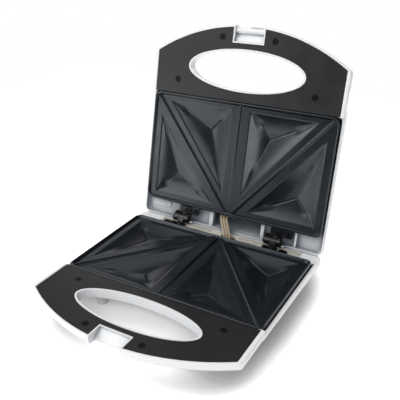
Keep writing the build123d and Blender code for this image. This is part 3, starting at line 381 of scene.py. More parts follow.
def pocket_fall(x, y, sizes, grow):
    """Depth of the pockets at x, y, with their mouths moved out by grow.

    For each side t is the distance from it by the lowest point's distance, so the three planes of equal t
    meet there. d is the least t as a length, its creases rounded by a softness that shrinks towards the
    mouth and the middle, and the mouth rounded by a parabola. The depth is the softly least of
    wall slope * d and facet start + facet fall * t, and a fine groove runs where two sides are as near.
    """
    total = np.zeros_like(x)
    for corners in pocket_corners(sizes):
        _, reaches = pocket_apex(corners, sizes)
        reach = reaches.mean() + grow
        shares = []
        for start, end, own in zip(corners, np.roll(corners, -1, 0), reaches):
            ahead = (end - start) / np.linalg.norm(end - start)
            inside = ahead[0] * (y - start[1]) - ahead[1] * (x - start[0]) + grow
            shares.append(inside / (own + grow) * reach)
        nearest = np.sort(np.stack(shares), axis=0)
        middle = soft_step((nearest[0] / reach - CREASE_START) / CREASE_RUN)
        from_mouth = soft_step(nearest[0] / (CORNER_RUN * reach))
        within = sizes.corner_share + (1 - sizes.corner_share) * from_mouth
        soft = sizes.crease_outer * within * (1 - middle) + sizes.crease_inner * middle
        d = soft_least(soft_least(shares[0], shares[1], soft), shares[2], soft)
        edge = sizes.mouth_round
        d = np.where(d > edge, d, np.where(d < -edge, 0, (d + edge) ** 2 / (4 * edge)))
        wall = sizes.wall_slope * d
        facet = sizes.facet_drop + sizes.facet_fall * np.clip(d / reach, 0, 1)
        line = np.clip(1 - (nearest[1] - nearest[0]) / sizes.crease_width, 0, 1) ** 2 * middle
        total += np.where(d > 0, soft_least(wall, facet, sizes.wall_foot), 0) + sizes.crease_depth * line
    return total


def plate_surface(x, y, edge, sizes):
    """Height of the plate's cooking side at x, y, whose distance from the outline is edge.

    It is the land, less the pockets, plus the lip, which rises by a smooth step and ends in a quarter
    circle, and the ridges, which are smooth steps of the distance to their lines.
    """
    land = -sizes.lip_gap - sizes.lip_height
    z = land - pocket_fall(x, y, sizes, 0.0)
    ends = sizes.depth / 2 - sizes.lip_width / 2
    corner = sizes.width / 2 - sizes.lip_width
    flank = RIDGE_FLANK * sizes.ridge_width / 2
    ridge = np.zeros_like(x)
    for start, end in (
        ((0, -ends), (0, ends)),
        ((sizes.ridge_offset, ends), (corner, -ends)),
        ((-sizes.ridge_offset, ends), (-corner, -ends)),
    ):
        start, end = np.array(start), np.array(end)
        run = end - start
        share = np.clip(((x - start[0]) * run[0] + (y - start[1]) * run[1]) / (run @ run), 0, 1)
        away = np.hypot(x - start[0] - share * run[0], y - start[1] - share * run[1])
        ridge = np.maximum(ridge, sizes.ridge_height * soft_step((sizes.ridge_width / 2 - away) / flank))
    lip = sizes.lip_height * soft_step((sizes.lip_width - edge) / (LIP_FLANK * sizes.lip_width))
    z = z + np.maximum(ridge, lip)
    inward = np.clip(sizes.lip_round - edge, 0, sizes.lip_round)
    return z - (sizes.lip_round - np.sqrt(sizes.lip_round ** 2 - inward ** 2))


def stations(half, step, lip_round):
    """An odd number of places from -half to half, a step apart, and closer over the rounded edge."""
    inner = half - lip_round
    count = 2 * int(math.ceil(inner / step))
    edge = half - lip_round * (1 - np.cos(np.linspace(0, math.pi / 2, EDGE_STATIONS + 1)[:-1]))
    return np.concatenate((-edge, np.linspace(-inner, inner, count + 1), edge[::-1]))


def rim(rows, columns):
    """Places of a grid's border points, counterclockwise."""
    place = np.arange(rows * columns).reshape(rows, columns)
    return np.concatenate((place[0, :-1], place[:-1, -1], place[-1, :0:-1], place[:0:-1, 0]))


def plate_shell(sizes):
    """The closed casting: cooking side, back of every second point, and the edge that joins them.

    Rows are stations across the hinge. In the rows of the round corners the stations along the hinge close
    up to the corner's circle, so both sides are functions of the two stations.
    """
    half_x, half_y = sizes.width / 2, sizes.depth / 2
    across = stations(half_y, sizes.step, sizes.lip_round)
    along = stations(half_x, sizes.step, sizes.lip_round)
    into = np.clip(np.abs(across) - half_y + sizes.corner, 0, sizes.corner)
    reach = half_x - sizes.corner + np.sqrt(sizes.corner ** 2 - into ** 2)
    x = along[None, :] * (reach / half_x)[:, None]
    y = np.repeat(across[:, None], len(along), 1)
    over_x = np.abs(x) - half_x + sizes.corner
    over_y = np.abs(y) - half_y + sizes.corner
    round_corner = np.hypot(np.maximum(over_x, 0), np.maximum(over_y, 0))
    outside = round_corner + np.minimum(np.maximum(over_x, over_y), 0)
    edge = np.maximum(sizes.corner - outside, 0)
    top = np.stack((x, y, plate_surface(x, y, edge, sizes)), -1)
    back_level = -sizes.lip_gap - sizes.lip_height - sizes.skin
    back_x, back_y = x[::2, ::2], y[::2, ::2]
    back_z = back_level - pocket_fall(back_x, back_y, sizes, sizes.back_grow)
    back = np.stack((back_x, back_y, back_z), -1)
    rows, columns = top.shape[:2]
    fewer_rows, fewer_columns = back.shape[:2]
    upper = rim(rows, columns)
    lower = rim(fewer_rows, fewer_columns) + rows * columns
    edge_faces = np.stack((lower, np.roll(lower, -1), np.roll(upper, -2)[::2], upper[1::2], upper[::2]), -1)
    back_faces = grid_faces(fewer_rows, fewer_columns)[:, ::-1] + rows * columns
    points = np.concatenate((top.reshape(-1, 3), back.reshape(-1, 3)))
    return points, (grid_faces(rows, columns), back_faces, edge_faces)


def bar_shell(outline, low, high):
    """An upright bar: an outline's points at two heights, with flat ends."""
    count = len(outline)
    points = np.concatenate([np.column_stack((outline, np.full(count, level))) for level in (low, high)])
    ends = np.arange(count)
    return points, (grid_faces(2, count, close_columns=True), [ends[::-1]], [ends + count])


def ring_shell(outer, inner, low, high):
    """A flat ring: two outlines of equal count at two heights, joined round their section."""
    count = len(outer)
    loops = ((outer, low), (outer, high), (inner, high), (inner, low))
    points = np.concatenate([np.column_stack((loop, np.full(count, level))) for loop, level in loops])
    faces = grid_faces(len(loops) + 1, count, close_columns=True) % len(points)
    return points, (faces,)


def circle(centre, radius, count=32):
    """Points round a circle, counterclockwise."""
    turn = np.linspace(0, 2 * math.pi, count, endpoint=False)
    return np.column_stack((centre[0] + radius * np.cos(turn), centre[1] + radius * np.sin(turn)))


def soft_box(left, right, front, rear, about, softness, count=64):
    """Points of a rectangle with round corners, seen at equal turns from a point inside it.

    The ray's length is the softly least of those to the four sides.
    """
    turn = np.linspace(0, 2 * math.pi, count, endpoint=False)
    cosine, sine = np.cos(turn), np.sin(turn)
    side = np.where(cosine > 0, right - about[0], about[0] - left) / np.maximum(np.abs(cosine), TINY)
    end = np.where(sine > 0, rear - about[1], about[1] - front) / np.maximum(np.abs(sine), TINY)
    ray = soft_least(side, end, softness)
    return np.column_stack((about[0] + ray * cosine, about[1] + ray * sine))


def plate_shells(sizes, lug_insets):
    """Every shell of a plate in its half's own frame: casting, lugs, tongues, posts and pads."""
    half_x, half_y = sizes.width / 2, sizes.depth / 2
    half_lug, half_tongue, half_lip = sizes.lug_width / 2, sizes.tongue_width / 2, sizes.lip_width / 2
    back = -sizes.lip_gap - sizes.lip_height - sizes.skin
    shells = [plate_shell(sizes)]
    for side, lug_inset in zip((-1, 1), lug_insets):
        x = side * (half_x - lug_inset)
        rear = half_y + sizes.lug_reach
        hole = (x, rear - half_lug)
        outline = soft_box(x - half_lug, x + half_lug, half_y - half_lip, rear, hole, LUG_SOFTNESS)
        bore = circle(hole, sizes.lug_hole, len(outline))
        shells.append(ring_shell(outline, bore, back, back + sizes.lug_thickness))
        x = side * (half_x - sizes.tongue_inset)
        front = -half_y - sizes.tongue_reach
        outline = soft_box(
            x - half_tongue, x + half_tongue, front, -half_y + half_lip, (x, -half_y), TONGUE_SOFTNESS)
        shells.append(bar_shell(outline, back, back + sizes.lug_thickness))
        for across in (-1, 1):
            post = (side * (half_x - sizes.clamp_inset), across * sizes.clamp_across)
            sunk = pocket_fall(np.array([post[0]]), np.array([post[1]]), sizes, 0.0)[0]
            top = back - sunk + sizes.skin / 2
            shells.append(bar_shell(circle(post, sizes.post_radius), -sizes.post_end, top))
    lowest = back - sizes.facet_drop - sizes.facet_fall
    for corners in pocket_corners(sizes):
        apex, _ = pocket_apex(corners, sizes)
        pad = circle(apex, sizes.pad_radius)
        shells.append(bar_shell(pad, lowest - sizes.pad_drop, lowest + sizes.skin / 2))
    return shells


def route_line(points, name):
    """Points of the smooth NURBS line that has the given route as its control points."""
    curve = bpy.data.curves.new(name, "CURVE")
    curve.dimensions = "3D"
    curve.resolution_u = 16
    spline = curve.splines.new("NURBS")
    spline.points.add(len(points) - 1)
    spline.points.foreach_set("co", np.column_stack((points, np.ones(len(points)))).ravel())
    spline.order_u = 3
    spline.use_endpoint_u = True
    holder = bpy.data.objects.new(name, curve)
    line = bpy.data.meshes.new_from_object(holder)
    places = np.empty(3 * len(line.vertices))
    line.vertices.foreach_get("co", places)
    bpy.data.objects.remove(holder)
    bpy.data.curves.remove(curve)
    bpy.data.meshes.remove(line)
    return places.reshape(-1, 3)


def tube_shell(line, radius):
    """A round tube along a line with rounded ends, and how far along it each ring is.

    Each ring is the circle radius (a cos + b sin) square to the line, where a is the x axis made square to
    the line and b is their cross product. At the ends the rings shrink by a quarter ellipse.
    """
    run = np.gradient(line, axis=0)
    run /= np.linalg.norm(run, axis=1)[:, None]
    a = np.array([1.0, 0, 0]) - run[:, :1] * run
    a /= np.linalg.norm(a, axis=1)[:, None]
    b = np.cross(run, a)
    cap = np.linspace(CAP_FIRST, math.pi / 2, CAP_RINGS + 1)[:-1]
    beyond = (radius * CAP_HEIGHT * np.cos(cap))[:, None]
    line = np.concatenate((line[0] - run[0] * beyond, line, line[-1] + run[-1] * beyond[::-1]))
    a, b = (np.pad(v, ((CAP_RINGS, CAP_RINGS), (0, 0)), mode="edge") for v in (a, b))
    size = np.full(len(line), radius)
    size[:CAP_RINGS] = radius * np.sin(cap)
    size[-CAP_RINGS:] = size[:CAP_RINGS][::-1]
    turn = np.linspace(0, 2 * math.pi, SLEEVE_SIDES, endpoint=False)
    ring = a[:, None] * np.cos(turn)[None, :, None] + b[:, None] * np.sin(turn)[None, :, None]
    points = (line[:, None] + size[:, None, None] * ring).reshape(-1, 3)
    first = np.arange(SLEEVE_SIDES)
    last = first + SLEEVE_SIDES * (len(line) - 1)
    far = np.concatenate(([0], np.cumsum(np.linalg.norm(np.diff(line, axis=0), axis=1))))
    return points, (grid_faces(len(line), SLEEVE_SIDES, close_columns=True), [first[::-1]], [last]), far


def lay_sleeve_uv(mesh, turns, metres):
    """UV map of the sleeves from each point's turn round its sleeve and metres along it.

    In a quad across the seam, where the turns fall from nearly 1 to 0, the low ones count on past 1.
    """
    loops = np.empty(len(mesh.loops), int)
    mesh.loops.foreach_get("vertex_index", loops)
    starts = np.empty(len(mesh.polygons), int)
    mesh.polygons.foreach_get("loop_start", starts)
    totals = np.empty(len(mesh.polygons), int)
    mesh.polygons.foreach_get("loop_total", totals)
    face_of = np.repeat(np.arange(len(totals)), totals)
    around = turns[loops]
    most = np.maximum.reduceat(around, starts)[face_of]
    past_seam = (totals[face_of] == 4) & (most > 1 - SEAM_SHARE) & (around < SEAM_SHARE)
    layer = mesh.uv_layers.new(name="turns_and_metres")
    layer.uv.foreach_set("vector", np.column_stack((around + past_seam, metres[loops])).ravel())


def add(tree, kind, inputs=None, **settings):
    """Adds a node with its settings, and sets or links its inputs."""
    node = tree.nodes.new(kind)
    for name, value in settings.items():
        setattr(node, name, value)
    for name, value in (inputs or {}).items():
        if isinstance(value, bpy.types.NodeSocket):
            tree.links.new(value, node.inputs[name])
        else:
            node.inputs[name].default_value = value
    return node


def new_finish(name):
    """An empty node material and its tree."""
    material = bpy.data.materials.new(name)
    material.use_nodes = True
    material.node_tree.nodes.clear()
    return material, material.node_tree


def rgba(tint, gain=1.0):
    """A colour with alpha, made lighter or darker by a gain."""
    return (*(min(c * gain, 1.0) for c in tint), 1.0)


def surface(name, tint, variation, cell, rough, spread, grain, height, edge=0.0, shade_reach=0.0, alone=True,
            shade=(0.20, 0.95), **shader):
    """A finish with clouds of tint, roughness that drifts with them, fine grain as bump, and eased edges.

    cell is the clouds' size, grain the bump's width, height its depth and edge the radius by which sharp
    edges catch light, all in millimetres, as is the reach of the painted shade: a grey, bluish tint laid
    into recesses by how little open sky is in reach. Recesses are those of the piece alone or with others,
    and shade gives the open shares at which that painted shade is full and gone.
    """
    material, tree = new_finish(name)
    place = add(tree, "ShaderNodeTexCoord").outputs["Object"]
    cloud = add(tree, "ShaderNodeTexNoise", {"Vector": place, "Scale": 1 / (cell * MM), "Detail": 3.0})
    tone = add(tree, "ShaderNodeMixRGB", {
        "Fac": cloud.outputs["Fac"], "Color1": rgba(tint, 1 - variation),
        "Color2": rgba(tint, 1 + variation)})
    # Painted shade: the tint greys and turns bluish in recesses, by how little open sky is in reach
    if shade_reach:
        free = add(tree, "ShaderNodeAmbientOcclusion", {
            "Distance": shade_reach * MM}, samples=8, only_local=alone)
        unshaded = add(tree, "ShaderNodeMapRange", {
            "Value": free.outputs["AO"], "From Min": shade[0], "From Max": shade[1]})
        tone = add(tree, "ShaderNodeMixRGB", {
            "Fac": unshaded.outputs["Result"], "Color1": (*(np.array(tint) * RECESS_SHADE), 1),
            "Color2": tone.outputs["Color"]})
    dull = add(tree, "ShaderNodeMapRange", {
        "Value": cloud.outputs["Fac"], "From Min": 0.3, "From Max": 0.7,
        "To Min": rough - spread, "To Max": rough + spread})
    fine = add(tree, "ShaderNodeTexNoise", {"Vector": place, "Scale": 1 / (grain * MM), "Detail": 2.0})
    bump = add(tree, "ShaderNodeBump", {
        "Height": fine.outputs["Fac"], "Distance": height * MM, "Strength": 1.0})
    if edge:
        eased = add(tree, "ShaderNodeBevel", {"Radius": edge * MM}, samples=4)
        tree.links.new(eased.outputs["Normal"], bump.inputs["Normal"])
    bsdf = add(tree, "ShaderNodeBsdfPrincipled", {
        "Base Color": tone.outputs["Color"], "Roughness": dull.outputs["Result"],
        "Normal": bump.outputs["Normal"], **shader})
    add(tree, "ShaderNodeOutputMaterial", {"Surface": bsdf.outputs["BSDF"]})
    return material


def non_stick(colours):
    """Cast aluminium with a sprayed and baked fluoropolymer coat: satin, pebbled and finely speckled."""
    material, tree = new_finish("sprayed_non_stick_coating")
    place = add(tree, "ShaderNodeTexCoord").outputs["Object"]
    # Pigment grains are near 0.2 mm; they are drawn 0.9 mm apart so that they show
    grains = add(tree, "ShaderNodeTexVoronoi", {"Vector": place, "Scale": 1 / (0.9 * MM)})
    dots = add(tree, "ShaderNodeMapRange", {
        "Value": grains.outputs["Distance"], "From Min": 0.18, "From Max": 0.34,
        "To Min": 1.0, "To Max": 0.0})
    cloud = add(tree, "ShaderNodeTexNoise", {"Vector": place, "Scale": 1 / (14 * MM), "Detail": 4.0})
    amount = add(tree, "ShaderNodeMath", {
        0: dots.outputs["Result"], 1: cloud.outputs["Fac"]}, operation="MULTIPLY")
    tone = add(tree, "ShaderNodeMixRGB", {
        "Fac": amount.outputs["Value"], "Color1": rgba(colours.coating), "Color2": rgba(colours.speckle)})
    dull = add(tree, "ShaderNodeMapRange", {
        "Value": cloud.outputs["Fac"], "From Min": 0.3, "From Max": 0.7, "To Min": 0.20, "To Max": 0.27})
    pebble = add(tree, "ShaderNodeTexNoise", {"Vector": place, "Scale": 1 / (0.8 * MM), "Detail": 3.0})
    bump = add(tree, "ShaderNodeBump", {
        "Height": pebble.outputs["Fac"], "Distance": 0.05 * MM, "Strength": 1.0})
    bsdf = add(tree, "ShaderNodeBsdfPrincipled", {
        "Base Color": tone.outputs["Color"], "Roughness": dull.outputs["Result"],
        "Normal": bump.outputs["Normal"], "IOR": 1.55, "Specular Tint": (0.84, 0.92, 1.0, 1)})
    add(tree, "ShaderNodeOutputMaterial", {"Surface": bsdf.outputs["BSDF"]})
    return material


def braided_sleeving(colours, sizes):
    """Woven and varnished glass-fibre sleeving: crossing spirals of yarn, with painted shine on crests and
    painted shade between.
    """
    material, tree = new_finish("woven_glass_fibre_sleeving")
    turns = add(tree, "ShaderNodeUVMap", uv_map="turns_and_metres")
    split = add(tree, "ShaderNodeSeparateXYZ", {"Vector": turns.outputs["UV"]})
    spiral = add(tree, "ShaderNodeMath", {0: split.outputs["Y"], 1: 1 / sizes.braid}, operation="MULTIPLY")
    waves = []
    for way in ("ADD", "SUBTRACT"):
        phase = add(tree, "ShaderNodeMath", {
            0: split.outputs["X"], 1: spiral.outputs["Value"]}, operation=way)
        turned = add(tree, "ShaderNodeMath", {
            0: phase.outputs["Value"], 1: BRAID_YARNS * math.pi}, operation="MULTIPLY")
        wave = add(tree, "ShaderNodeMath", {0: turned.outputs["Value"]}, operation="SINE")
        waves.append(wave.outputs["Value"])
    weave = add(tree, "ShaderNodeMath", {0: waves[0], 1: waves[1]}, operation="MULTIPLY")
    share = add(tree, "ShaderNodeMapRange", {
        "Value": weave.outputs["Value"], "From Min": -1.0, "From Max": 1.0})
    # Painted shine and shade: the colour follows the weave's relief, lighter on the crests and darker
    # between
    tone = add(tree, "ShaderNodeMixRGB", {
        "Fac": share.outputs["Result"], "Color1": rgba(colours.braid, 0.70),
        "Color2": rgba(colours.braid, 1.15)})
    bump = add(tree, "ShaderNodeBump", {
        "Height": share.outputs["Result"], "Distance": 0.15 * MM, "Strength": 0.8})
    bsdf = add(tree, "ShaderNodeBsdfPrincipled", {
        "Base Color": tone.outputs["Color"], "Roughness": 0.42, "Normal": bump.outputs["Normal"],
        "IOR": 1.5})
    add(tree, "ShaderNodeOutputMaterial", {"Surface": bsdf.outputs["BSDF"]})
    return material


def dress(nodes, material):
    """Gives CAD nodes a finish in all their material slots."""
    for name in nodes:
        mesh = frame["nodes"][name].data
        if not mesh.materials:
            mesh.materials.append(material)
        for i in range(len(mesh.materials)):
            mesh.materials[i] = material


def seamless_paper(tint, studio):
    """Matt white paper, lifted to white where the camera or a reflection sees it, less so by the object,
    where a shadow is painted.
    """
    material, tree = new_finish("seamless_white_paper")
    place = add(tree, "ShaderNodeTexCoord").outputs["Object"]
    near = add(tree, "ShaderNodeAmbientOcclusion", {"Distance": studio.shadow}, samples=16)
    free = add(tree, "ShaderNodeMapRange", {
        "Value": near.outputs["AO"], "From Min": 0.30, "From Max": 0.90}).outputs["Result"]
    fibre = add(tree, "ShaderNodeTexNoise", {"Vector": place, "Scale": 1 / (3 * MM)})
    tone = add(tree, "ShaderNodeMixRGB", {
        "Fac": fibre.outputs["Fac"], "Color1": rgba(tint, 0.99), "Color2": rgba(tint, 1.01)})
    # Painted shadow: near the object the paper's colour darkens to half its tint
    tone = add(tree, "ShaderNodeMixRGB", {
        "Fac": free, "Color1": rgba(tint, 0.5), "Color2": tone.outputs["Color"]})
    matt = add(tree, "ShaderNodeBsdfDiffuse", {"Color": tone.outputs["Color"]})
    # The lift fades near the object too, which deepens the painted shadow
    lift = add(tree, "ShaderNodeMapRange", {
        "Value": free, "From Min": 0.25, "From Max": 1.0, "To Min": studio.lift, "To Max": 1.0,
    }, interpolation_type="SMOOTHSTEP")
    # Painted light: the floor seen through the lower handle's opening glows as a soft patch of its own
    patch = add(tree, "ShaderNodeVectorMath", {0: place, 1: (-PATCH_X, -PATCH_Y, 0)}, operation="ADD")
    patch = add(tree, "ShaderNodeVectorMath", {
        0: patch.outputs["Vector"], 1: (1 / PATCH_ALONG, 1 / PATCH_ACROSS, 0)}, operation="MULTIPLY")
    patch = add(tree, "ShaderNodeVectorMath", {0: patch.outputs["Vector"]}, operation="LENGTH")
    patch = add(tree, "ShaderNodeMapRange", {
        "Value": patch.outputs["Value"], "From Min": 0.3, "From Max": 1.0,
        "To Min": studio.patch, "To Max": 0.0,
    }, interpolation_type="SMOOTHSTEP")
    ray = add(tree, "ShaderNodeLightPath").outputs
    seen = add(tree, "ShaderNodeMath", {
        0: ray["Is Camera Ray"], 1: ray["Is Transmission Ray"]}, operation="MAXIMUM")
    seen = add(tree, "ShaderNodeMath", {
        0: seen.outputs["Value"], 1: ray["Is Glossy Ray"]}, operation="MAXIMUM")
    glow = add(tree, "ShaderNodeMath", {
        0: lift.outputs["Result"], 1: patch.outputs["Result"]}, operation="MAXIMUM")
    glow = add(tree, "ShaderNodeMath", {
        0: seen.outputs["Value"], 1: glow.outputs["Value"]}, operation="MULTIPLY")
    white = add(tree, "ShaderNodeEmission", {"Color": (1, 1, 1, 1), "Strength": glow.outputs["Value"]})
    both = add(tree, "ShaderNodeAddShader", {0: matt.outputs["BSDF"], 1: white.outputs["Emission"]})
    add(tree, "ShaderNodeOutputMaterial", {"Surface": both.outputs["Shader"]})
    return material


def white_room(ambient):
    """A world that is white to the camera, to glass and, up to a low horizon, to gloss.

    Elsewhere it has a soft ambient level, and a dark flag in front and to the right keeps the white out of
    the gloss there.
    """
    world = bpy.data.worlds.new("white_room")
    world.use_nodes = True
    tree = world.node_tree
    tree.nodes.clear()
    ray = add(tree, "ShaderNodeLightPath").outputs
    way = add(tree, "ShaderNodeTexCoord").outputs["Generated"]
    height = add(tree, "ShaderNodeSeparateXYZ", {0: way}).outputs["Z"]
    horizon = add(tree, "ShaderNodeMapRange", {
        "Value": height, "From Min": 0.09, "From Max": 0.28, "To Min": 1.0, "To Max": 0.0})
    side = add(tree, "ShaderNodeVectorMath", {0: way, 1: (-1, 1, 0)}, operation="DOT_PRODUCT")
    flag = add(tree, "ShaderNodeMapRange", {
        "Value": side.outputs["Value"], "From Min": -0.75, "From Max": -0.2})
    gloss = add(tree, "ShaderNodeMath", {
        0: horizon.outputs["Result"], 1: flag.outputs["Result"]}, operation="MULTIPLY")
    gloss = add(tree, "ShaderNodeMath", {
        0: ray["Is Glossy Ray"], 1: gloss.outputs["Value"]}, operation="MULTIPLY")
    seen = add(tree, "ShaderNodeMath", {
        0: ray["Is Camera Ray"], 1: ray["Is Transmission Ray"]}, operation="MAXIMUM")
    seen = add(tree, "ShaderNodeMath", {
        0: seen.outputs["Value"], 1: gloss.outputs["Value"]}, operation="MAXIMUM")
    level = add(tree, "ShaderNodeMapRange", {
        "Value": seen.outputs["Value"], "To Min": ambient, "To Max": 1.0})
    sky = add(tree, "ShaderNodeBackground", {"Color": (1, 1, 1, 1), "Strength": level.outputs["Result"]})
    add(tree, "ShaderNodeOutputWorld", {"Surface": sky.outputs["Background"]})
    return world


def placed_matrix(x, y, z, place):
    """The matrix of an object with these axes at a place."""
    return Matrix(np.column_stack((x, y, z, place)).tolist() + [[0, 0, 0, 1]])


def softbox(name, watts, spot, aim, wide, tall):
    """A rectangular lamp at a spot, turned to its aim and hidden from the camera."""
    light = bpy.data.lights.new(name, "AREA")
    light.shape = "RECTANGLE"
    light.size, light.size_y = wide, tall
    light.energy = watts
    lamp = bpy.data.objects.new(name, light)
    lamp.visible_camera = False
    z = np.array(spot, float) - np.array(aim, float)
    z /= np.linalg.norm(z)
    x = np.cross((0, 1, 0) if abs(z[2]) > STEEP else (0, 0, 1), z)
    x /= np.linalg.norm(x)
    lamp.matrix_world = placed_matrix(x, np.cross(z, x), z, spot)
    bpy.context.scene.collection.objects.link(lamp)


class MAKER_OT_plates(bpy.types.Operator):
    """Builds both cooking plates with soft creases and coats them"""

    bl_idname = "maker.plates"
    bl_label = "Cooking plates"

    def execute(self, context):
        sizes = context.scene.maker_plates
        coat = non_stick(context.scene.maker_colours)
        for half, node, second_lug in (
            ("base", "lower_cooking_plate", sizes.lug_inset),
            ("lid", "upper_cooking_plate", sizes.upper_lug_inset),
        ):
            turn, place = half_matrix(half)
            shells = plate_shells(sizes, (sizes.lug_inset, second_lug))
            placed = [(points @ turn.T + place, faces) for points, faces in shells]
            piece = put_piece(node.replace("cooking", "cast"), placed, SHARP_TURN)
            piece.data.materials.append(coat)
            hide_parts(node)
            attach(piece, half)
        return {"FINISHED"}


class MAKER_OT_sleeves(bpy.types.Operator):
    """Builds the braided wire sleeves that cross the hinge"""

    bl_idname = "maker.sleeves"
    bl_label = "Wire sleeves"

    def execute(self, context):
        sizes = context.scene.maker_sleeves
        finish = braided_sleeving(context.scene.maker_colours, sizes)
        _, place = half_matrix("base")
        route = np.array(SLEEVE_ROUTE) * MM + place
        shells, along = [], []
        for i in range(sizes.count):
            step = (i - (sizes.count - 1) / 2) * sizes.pitch
            points, faces, far = tube_shell(route_line(route + (step, 0, 0), "sleeve_route"), sizes.radius)
            shells.append((points, faces))
            along.append(far)
        piece = put_piece("braided_sleeves", shells, SLEEVE_SHARP_TURN)
        rings = np.concatenate(along)
        turns = np.tile(np.arange(SLEEVE_SIDES) / SLEEVE_SIDES, len(rings))
        lay_sleeve_uv(piece.data, turns, np.repeat(rings, SLEEVE_SIDES))
        piece.data.materials.append(finish)
        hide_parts("wire_sleeves")
        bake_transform(piece)
        return {"FINISHED"}


class MAKER_OT_mouldings(bpy.types.Operator):
    """Finishes the white mouldings and the cream cover"""

    bl_idname = "maker.mouldings"
    bl_label = "White mouldings"

    def execute(self, context):
        colours = context.scene.maker_colours
        # Gloss ABS from a polished mould: bright, with faint flow clouds and a trace of orange peel
        # Their recesses, up to 60 mm wide, get painted shade, grey and bluish
        for name, nodes, alone, shade in (
            ("moulded_gloss_abs", ("base_housing", "latch_clip"), True, (0.20, 0.95)),
            ("moulded_lid_gloss_abs", ("lid_housing",), False, (0.30, 0.68)),
        ):
            dress(nodes, surface(
                name, colours.housing, variation=0.006, cell=45, rough=0.26, spread=0.015, grain=2.4,
                height=0.012, edge=0.7, shade_reach=60, alone=alone, shade=shade, IOR=1.53))
        # Heat-resistant resin in its natural cream: satin, with faint flow clouds; its screws match it
        # Its narrow recesses get painted shade too
        dress(("wiring_cover", "wiring_cover_screws"), surface(
            "moulded_natural_resin", colours.cover, variation=0.03, cell=20, rough=0.45, spread=0.06,
            grain=1.2, height=0.02, edge=0.2, shade_reach=3, IOR=1.5))
        return {"FINISHED"}


class MAKER_OT_trims(bpy.types.Operator):
    """Finishes the dark handle inserts"""

    bl_idname = "maker.trims"
    bl_label = "Handle inserts"

    def execute(self, context):
        # Polypropylene from a spark-eroded mould: satin with a pitted grain near 0.2 mm, drawn at 0.7 mm
        dress(HANDLE_TRIMS, surface(
            "moulded_grained_polypropylene", context.scene.maker_colours.trim, variation=0.10, cell=18,
            rough=0.36, spread=0.04, grain=0.7, height=0.03, edge=0.25, IOR=1.49))
        return {"FINISHED"}


class MAKER_OT_hardware(bpy.types.Operator):
    """Finishes hinges, pins and screws"""

    bl_idname = "maker.hardware"
    bl_label = "Hinges and screws"

    def execute(self, context):
        colours = context.scene.maker_colours
        # Pressed steel under stoved lacquer: deep gloss with orange peel
        dress(HINGE_BRACKETS, surface(
            "stoved_black_lacquer", colours.lacquer, variation=0.15, cell=9, rough=0.20, spread=0.05,
            grain=1.5, height=0.02, edge=0.5, IOR=1.52))
        # Phosphated and oiled steel: dull black with a faint sheen
        dress(BLACK_STEEL, surface(
            "phosphated_black_steel", colours.phosphate, variation=0.2, cell=2, rough=0.30, spread=0.06,
            grain=0.5, height=0.015, edge=0.3, **{"Specular IOR Level": 0.25}))
        # Zinc-plated steel: bright grey with slight clouding
        dress(ZINC_STEEL, surface(
            "zinc_plated_steel", colours.zinc, variation=0.08, cell=3, rough=0.30, spread=0.07,
            grain=0.6, height=0.008, edge=0.3, Metallic=1.0))
        return {"FINISHED"}


class MAKER_OT_heating(bpy.types.Operator):
    """Finishes the heating elements, clamps, reflectors and thermostat"""

    bl_idname = "maker.heating"
    bl_label = "Heating"

    def execute(self, context):
        colours = context.scene.maker_colours
        # Drawn steel sheath, dulled and tinted by heat in bands of some centimetres
        dress(("lower_heating_element", "upper_heating_element"), surface(
            "heat_dulled_steel_sheath", colours.sheath, variation=0.25, cell=22, rough=0.46, spread=0.08,
            grain=0.8, height=0.02, Metallic=1.0))
        # Galvanised strip with its spangle, a few millimetres across
        dress(("lower_element_clamps", "upper_element_clamps", "thermostat_strap"), surface(
            "galvanised_strip", colours.galvanised, variation=0.14, cell=4, rough=0.38, spread=0.1,
            grain=1.2, height=0.01, edge=0.3, Metallic=1.0))
        # Mill-finish aluminium sheet: bright with soft rolling clouds
        dress(("lower_heat_reflector", "upper_heat_reflector"), surface(
            "rolled_aluminium_sheet", colours.aluminium, variation=0.06, cell=12, rough=0.30, spread=0.08,
            grain=0.9, height=0.01, Metallic=1.0))
        # Pressed phenolic resin: dark brown with filler clouds
        dress(("thermostat",), surface(
            "pressed_phenolic_resin", colours.phenolic, variation=0.25, cell=3, rough=0.42, spread=0.06,
            grain=0.7, height=0.02, edge=0.4, IOR=1.6))
        return {"FINISHED"}


class MAKER_OT_fittings(bpy.types.Operator):
    """Finishes the feet, gland, terminal block and pilot lamps"""

    bl_idname = "maker.fittings"
    bl_label = "Feet, gland and lamps"

    def execute(self, context):
        colours = context.scene.maker_colours
        # Moulded rubber: dull with a dusty bloom
        dress(("feet",), surface(
            "moulded_white_rubber", colours.foot, variation=0.05, cell=6, rough=0.62, spread=0.08,
            grain=0.9, height=0.03, edge=0.5, IOR=1.52))
        dress(("cord_gland",), surface(
            "moulded_grey_rubber", colours.gland, variation=0.07, cell=5, rough=0.58, spread=0.08,
            grain=0.9, height=0.03, edge=0.5, IOR=1.52))
        # Mineral-filled thermoset: matt with pale filler clouds
        dress(("terminal_block", "lamp_holder"), surface(
            "mineral_filled_thermoset", colours.thermoset, variation=0.08, cell=4, rough=0.5, spread=0.07,
            grain=0.8, height=0.03, edge=0.4, IOR=1.55))
        # Clear tinted acrylic: glossy, with the lamp's space dimly behind it
        for node, tint in (("power_lens", colours.red_lens), ("ready_lens", colours.green_lens)):
            dress((node,), surface(
                f"tinted_acrylic_{node}", tint, variation=0.06, cell=2, rough=0.10, spread=0.03,
                grain=1.1, height=0.01, edge=0.3, IOR=1.49, **{"Transmission Weight": 0.55}))
        # Blown glass with a warm gas filling
        dress(("neon_lamps",), surface(
            "blown_glass_bulb", colours.neon, variation=0.05, cell=3, rough=0.06, spread=0.02,
            grain=1.5, height=0.01, IOR=1.5, **{"Transmission Weight": 0.9}))
        return {"FINISHED"}


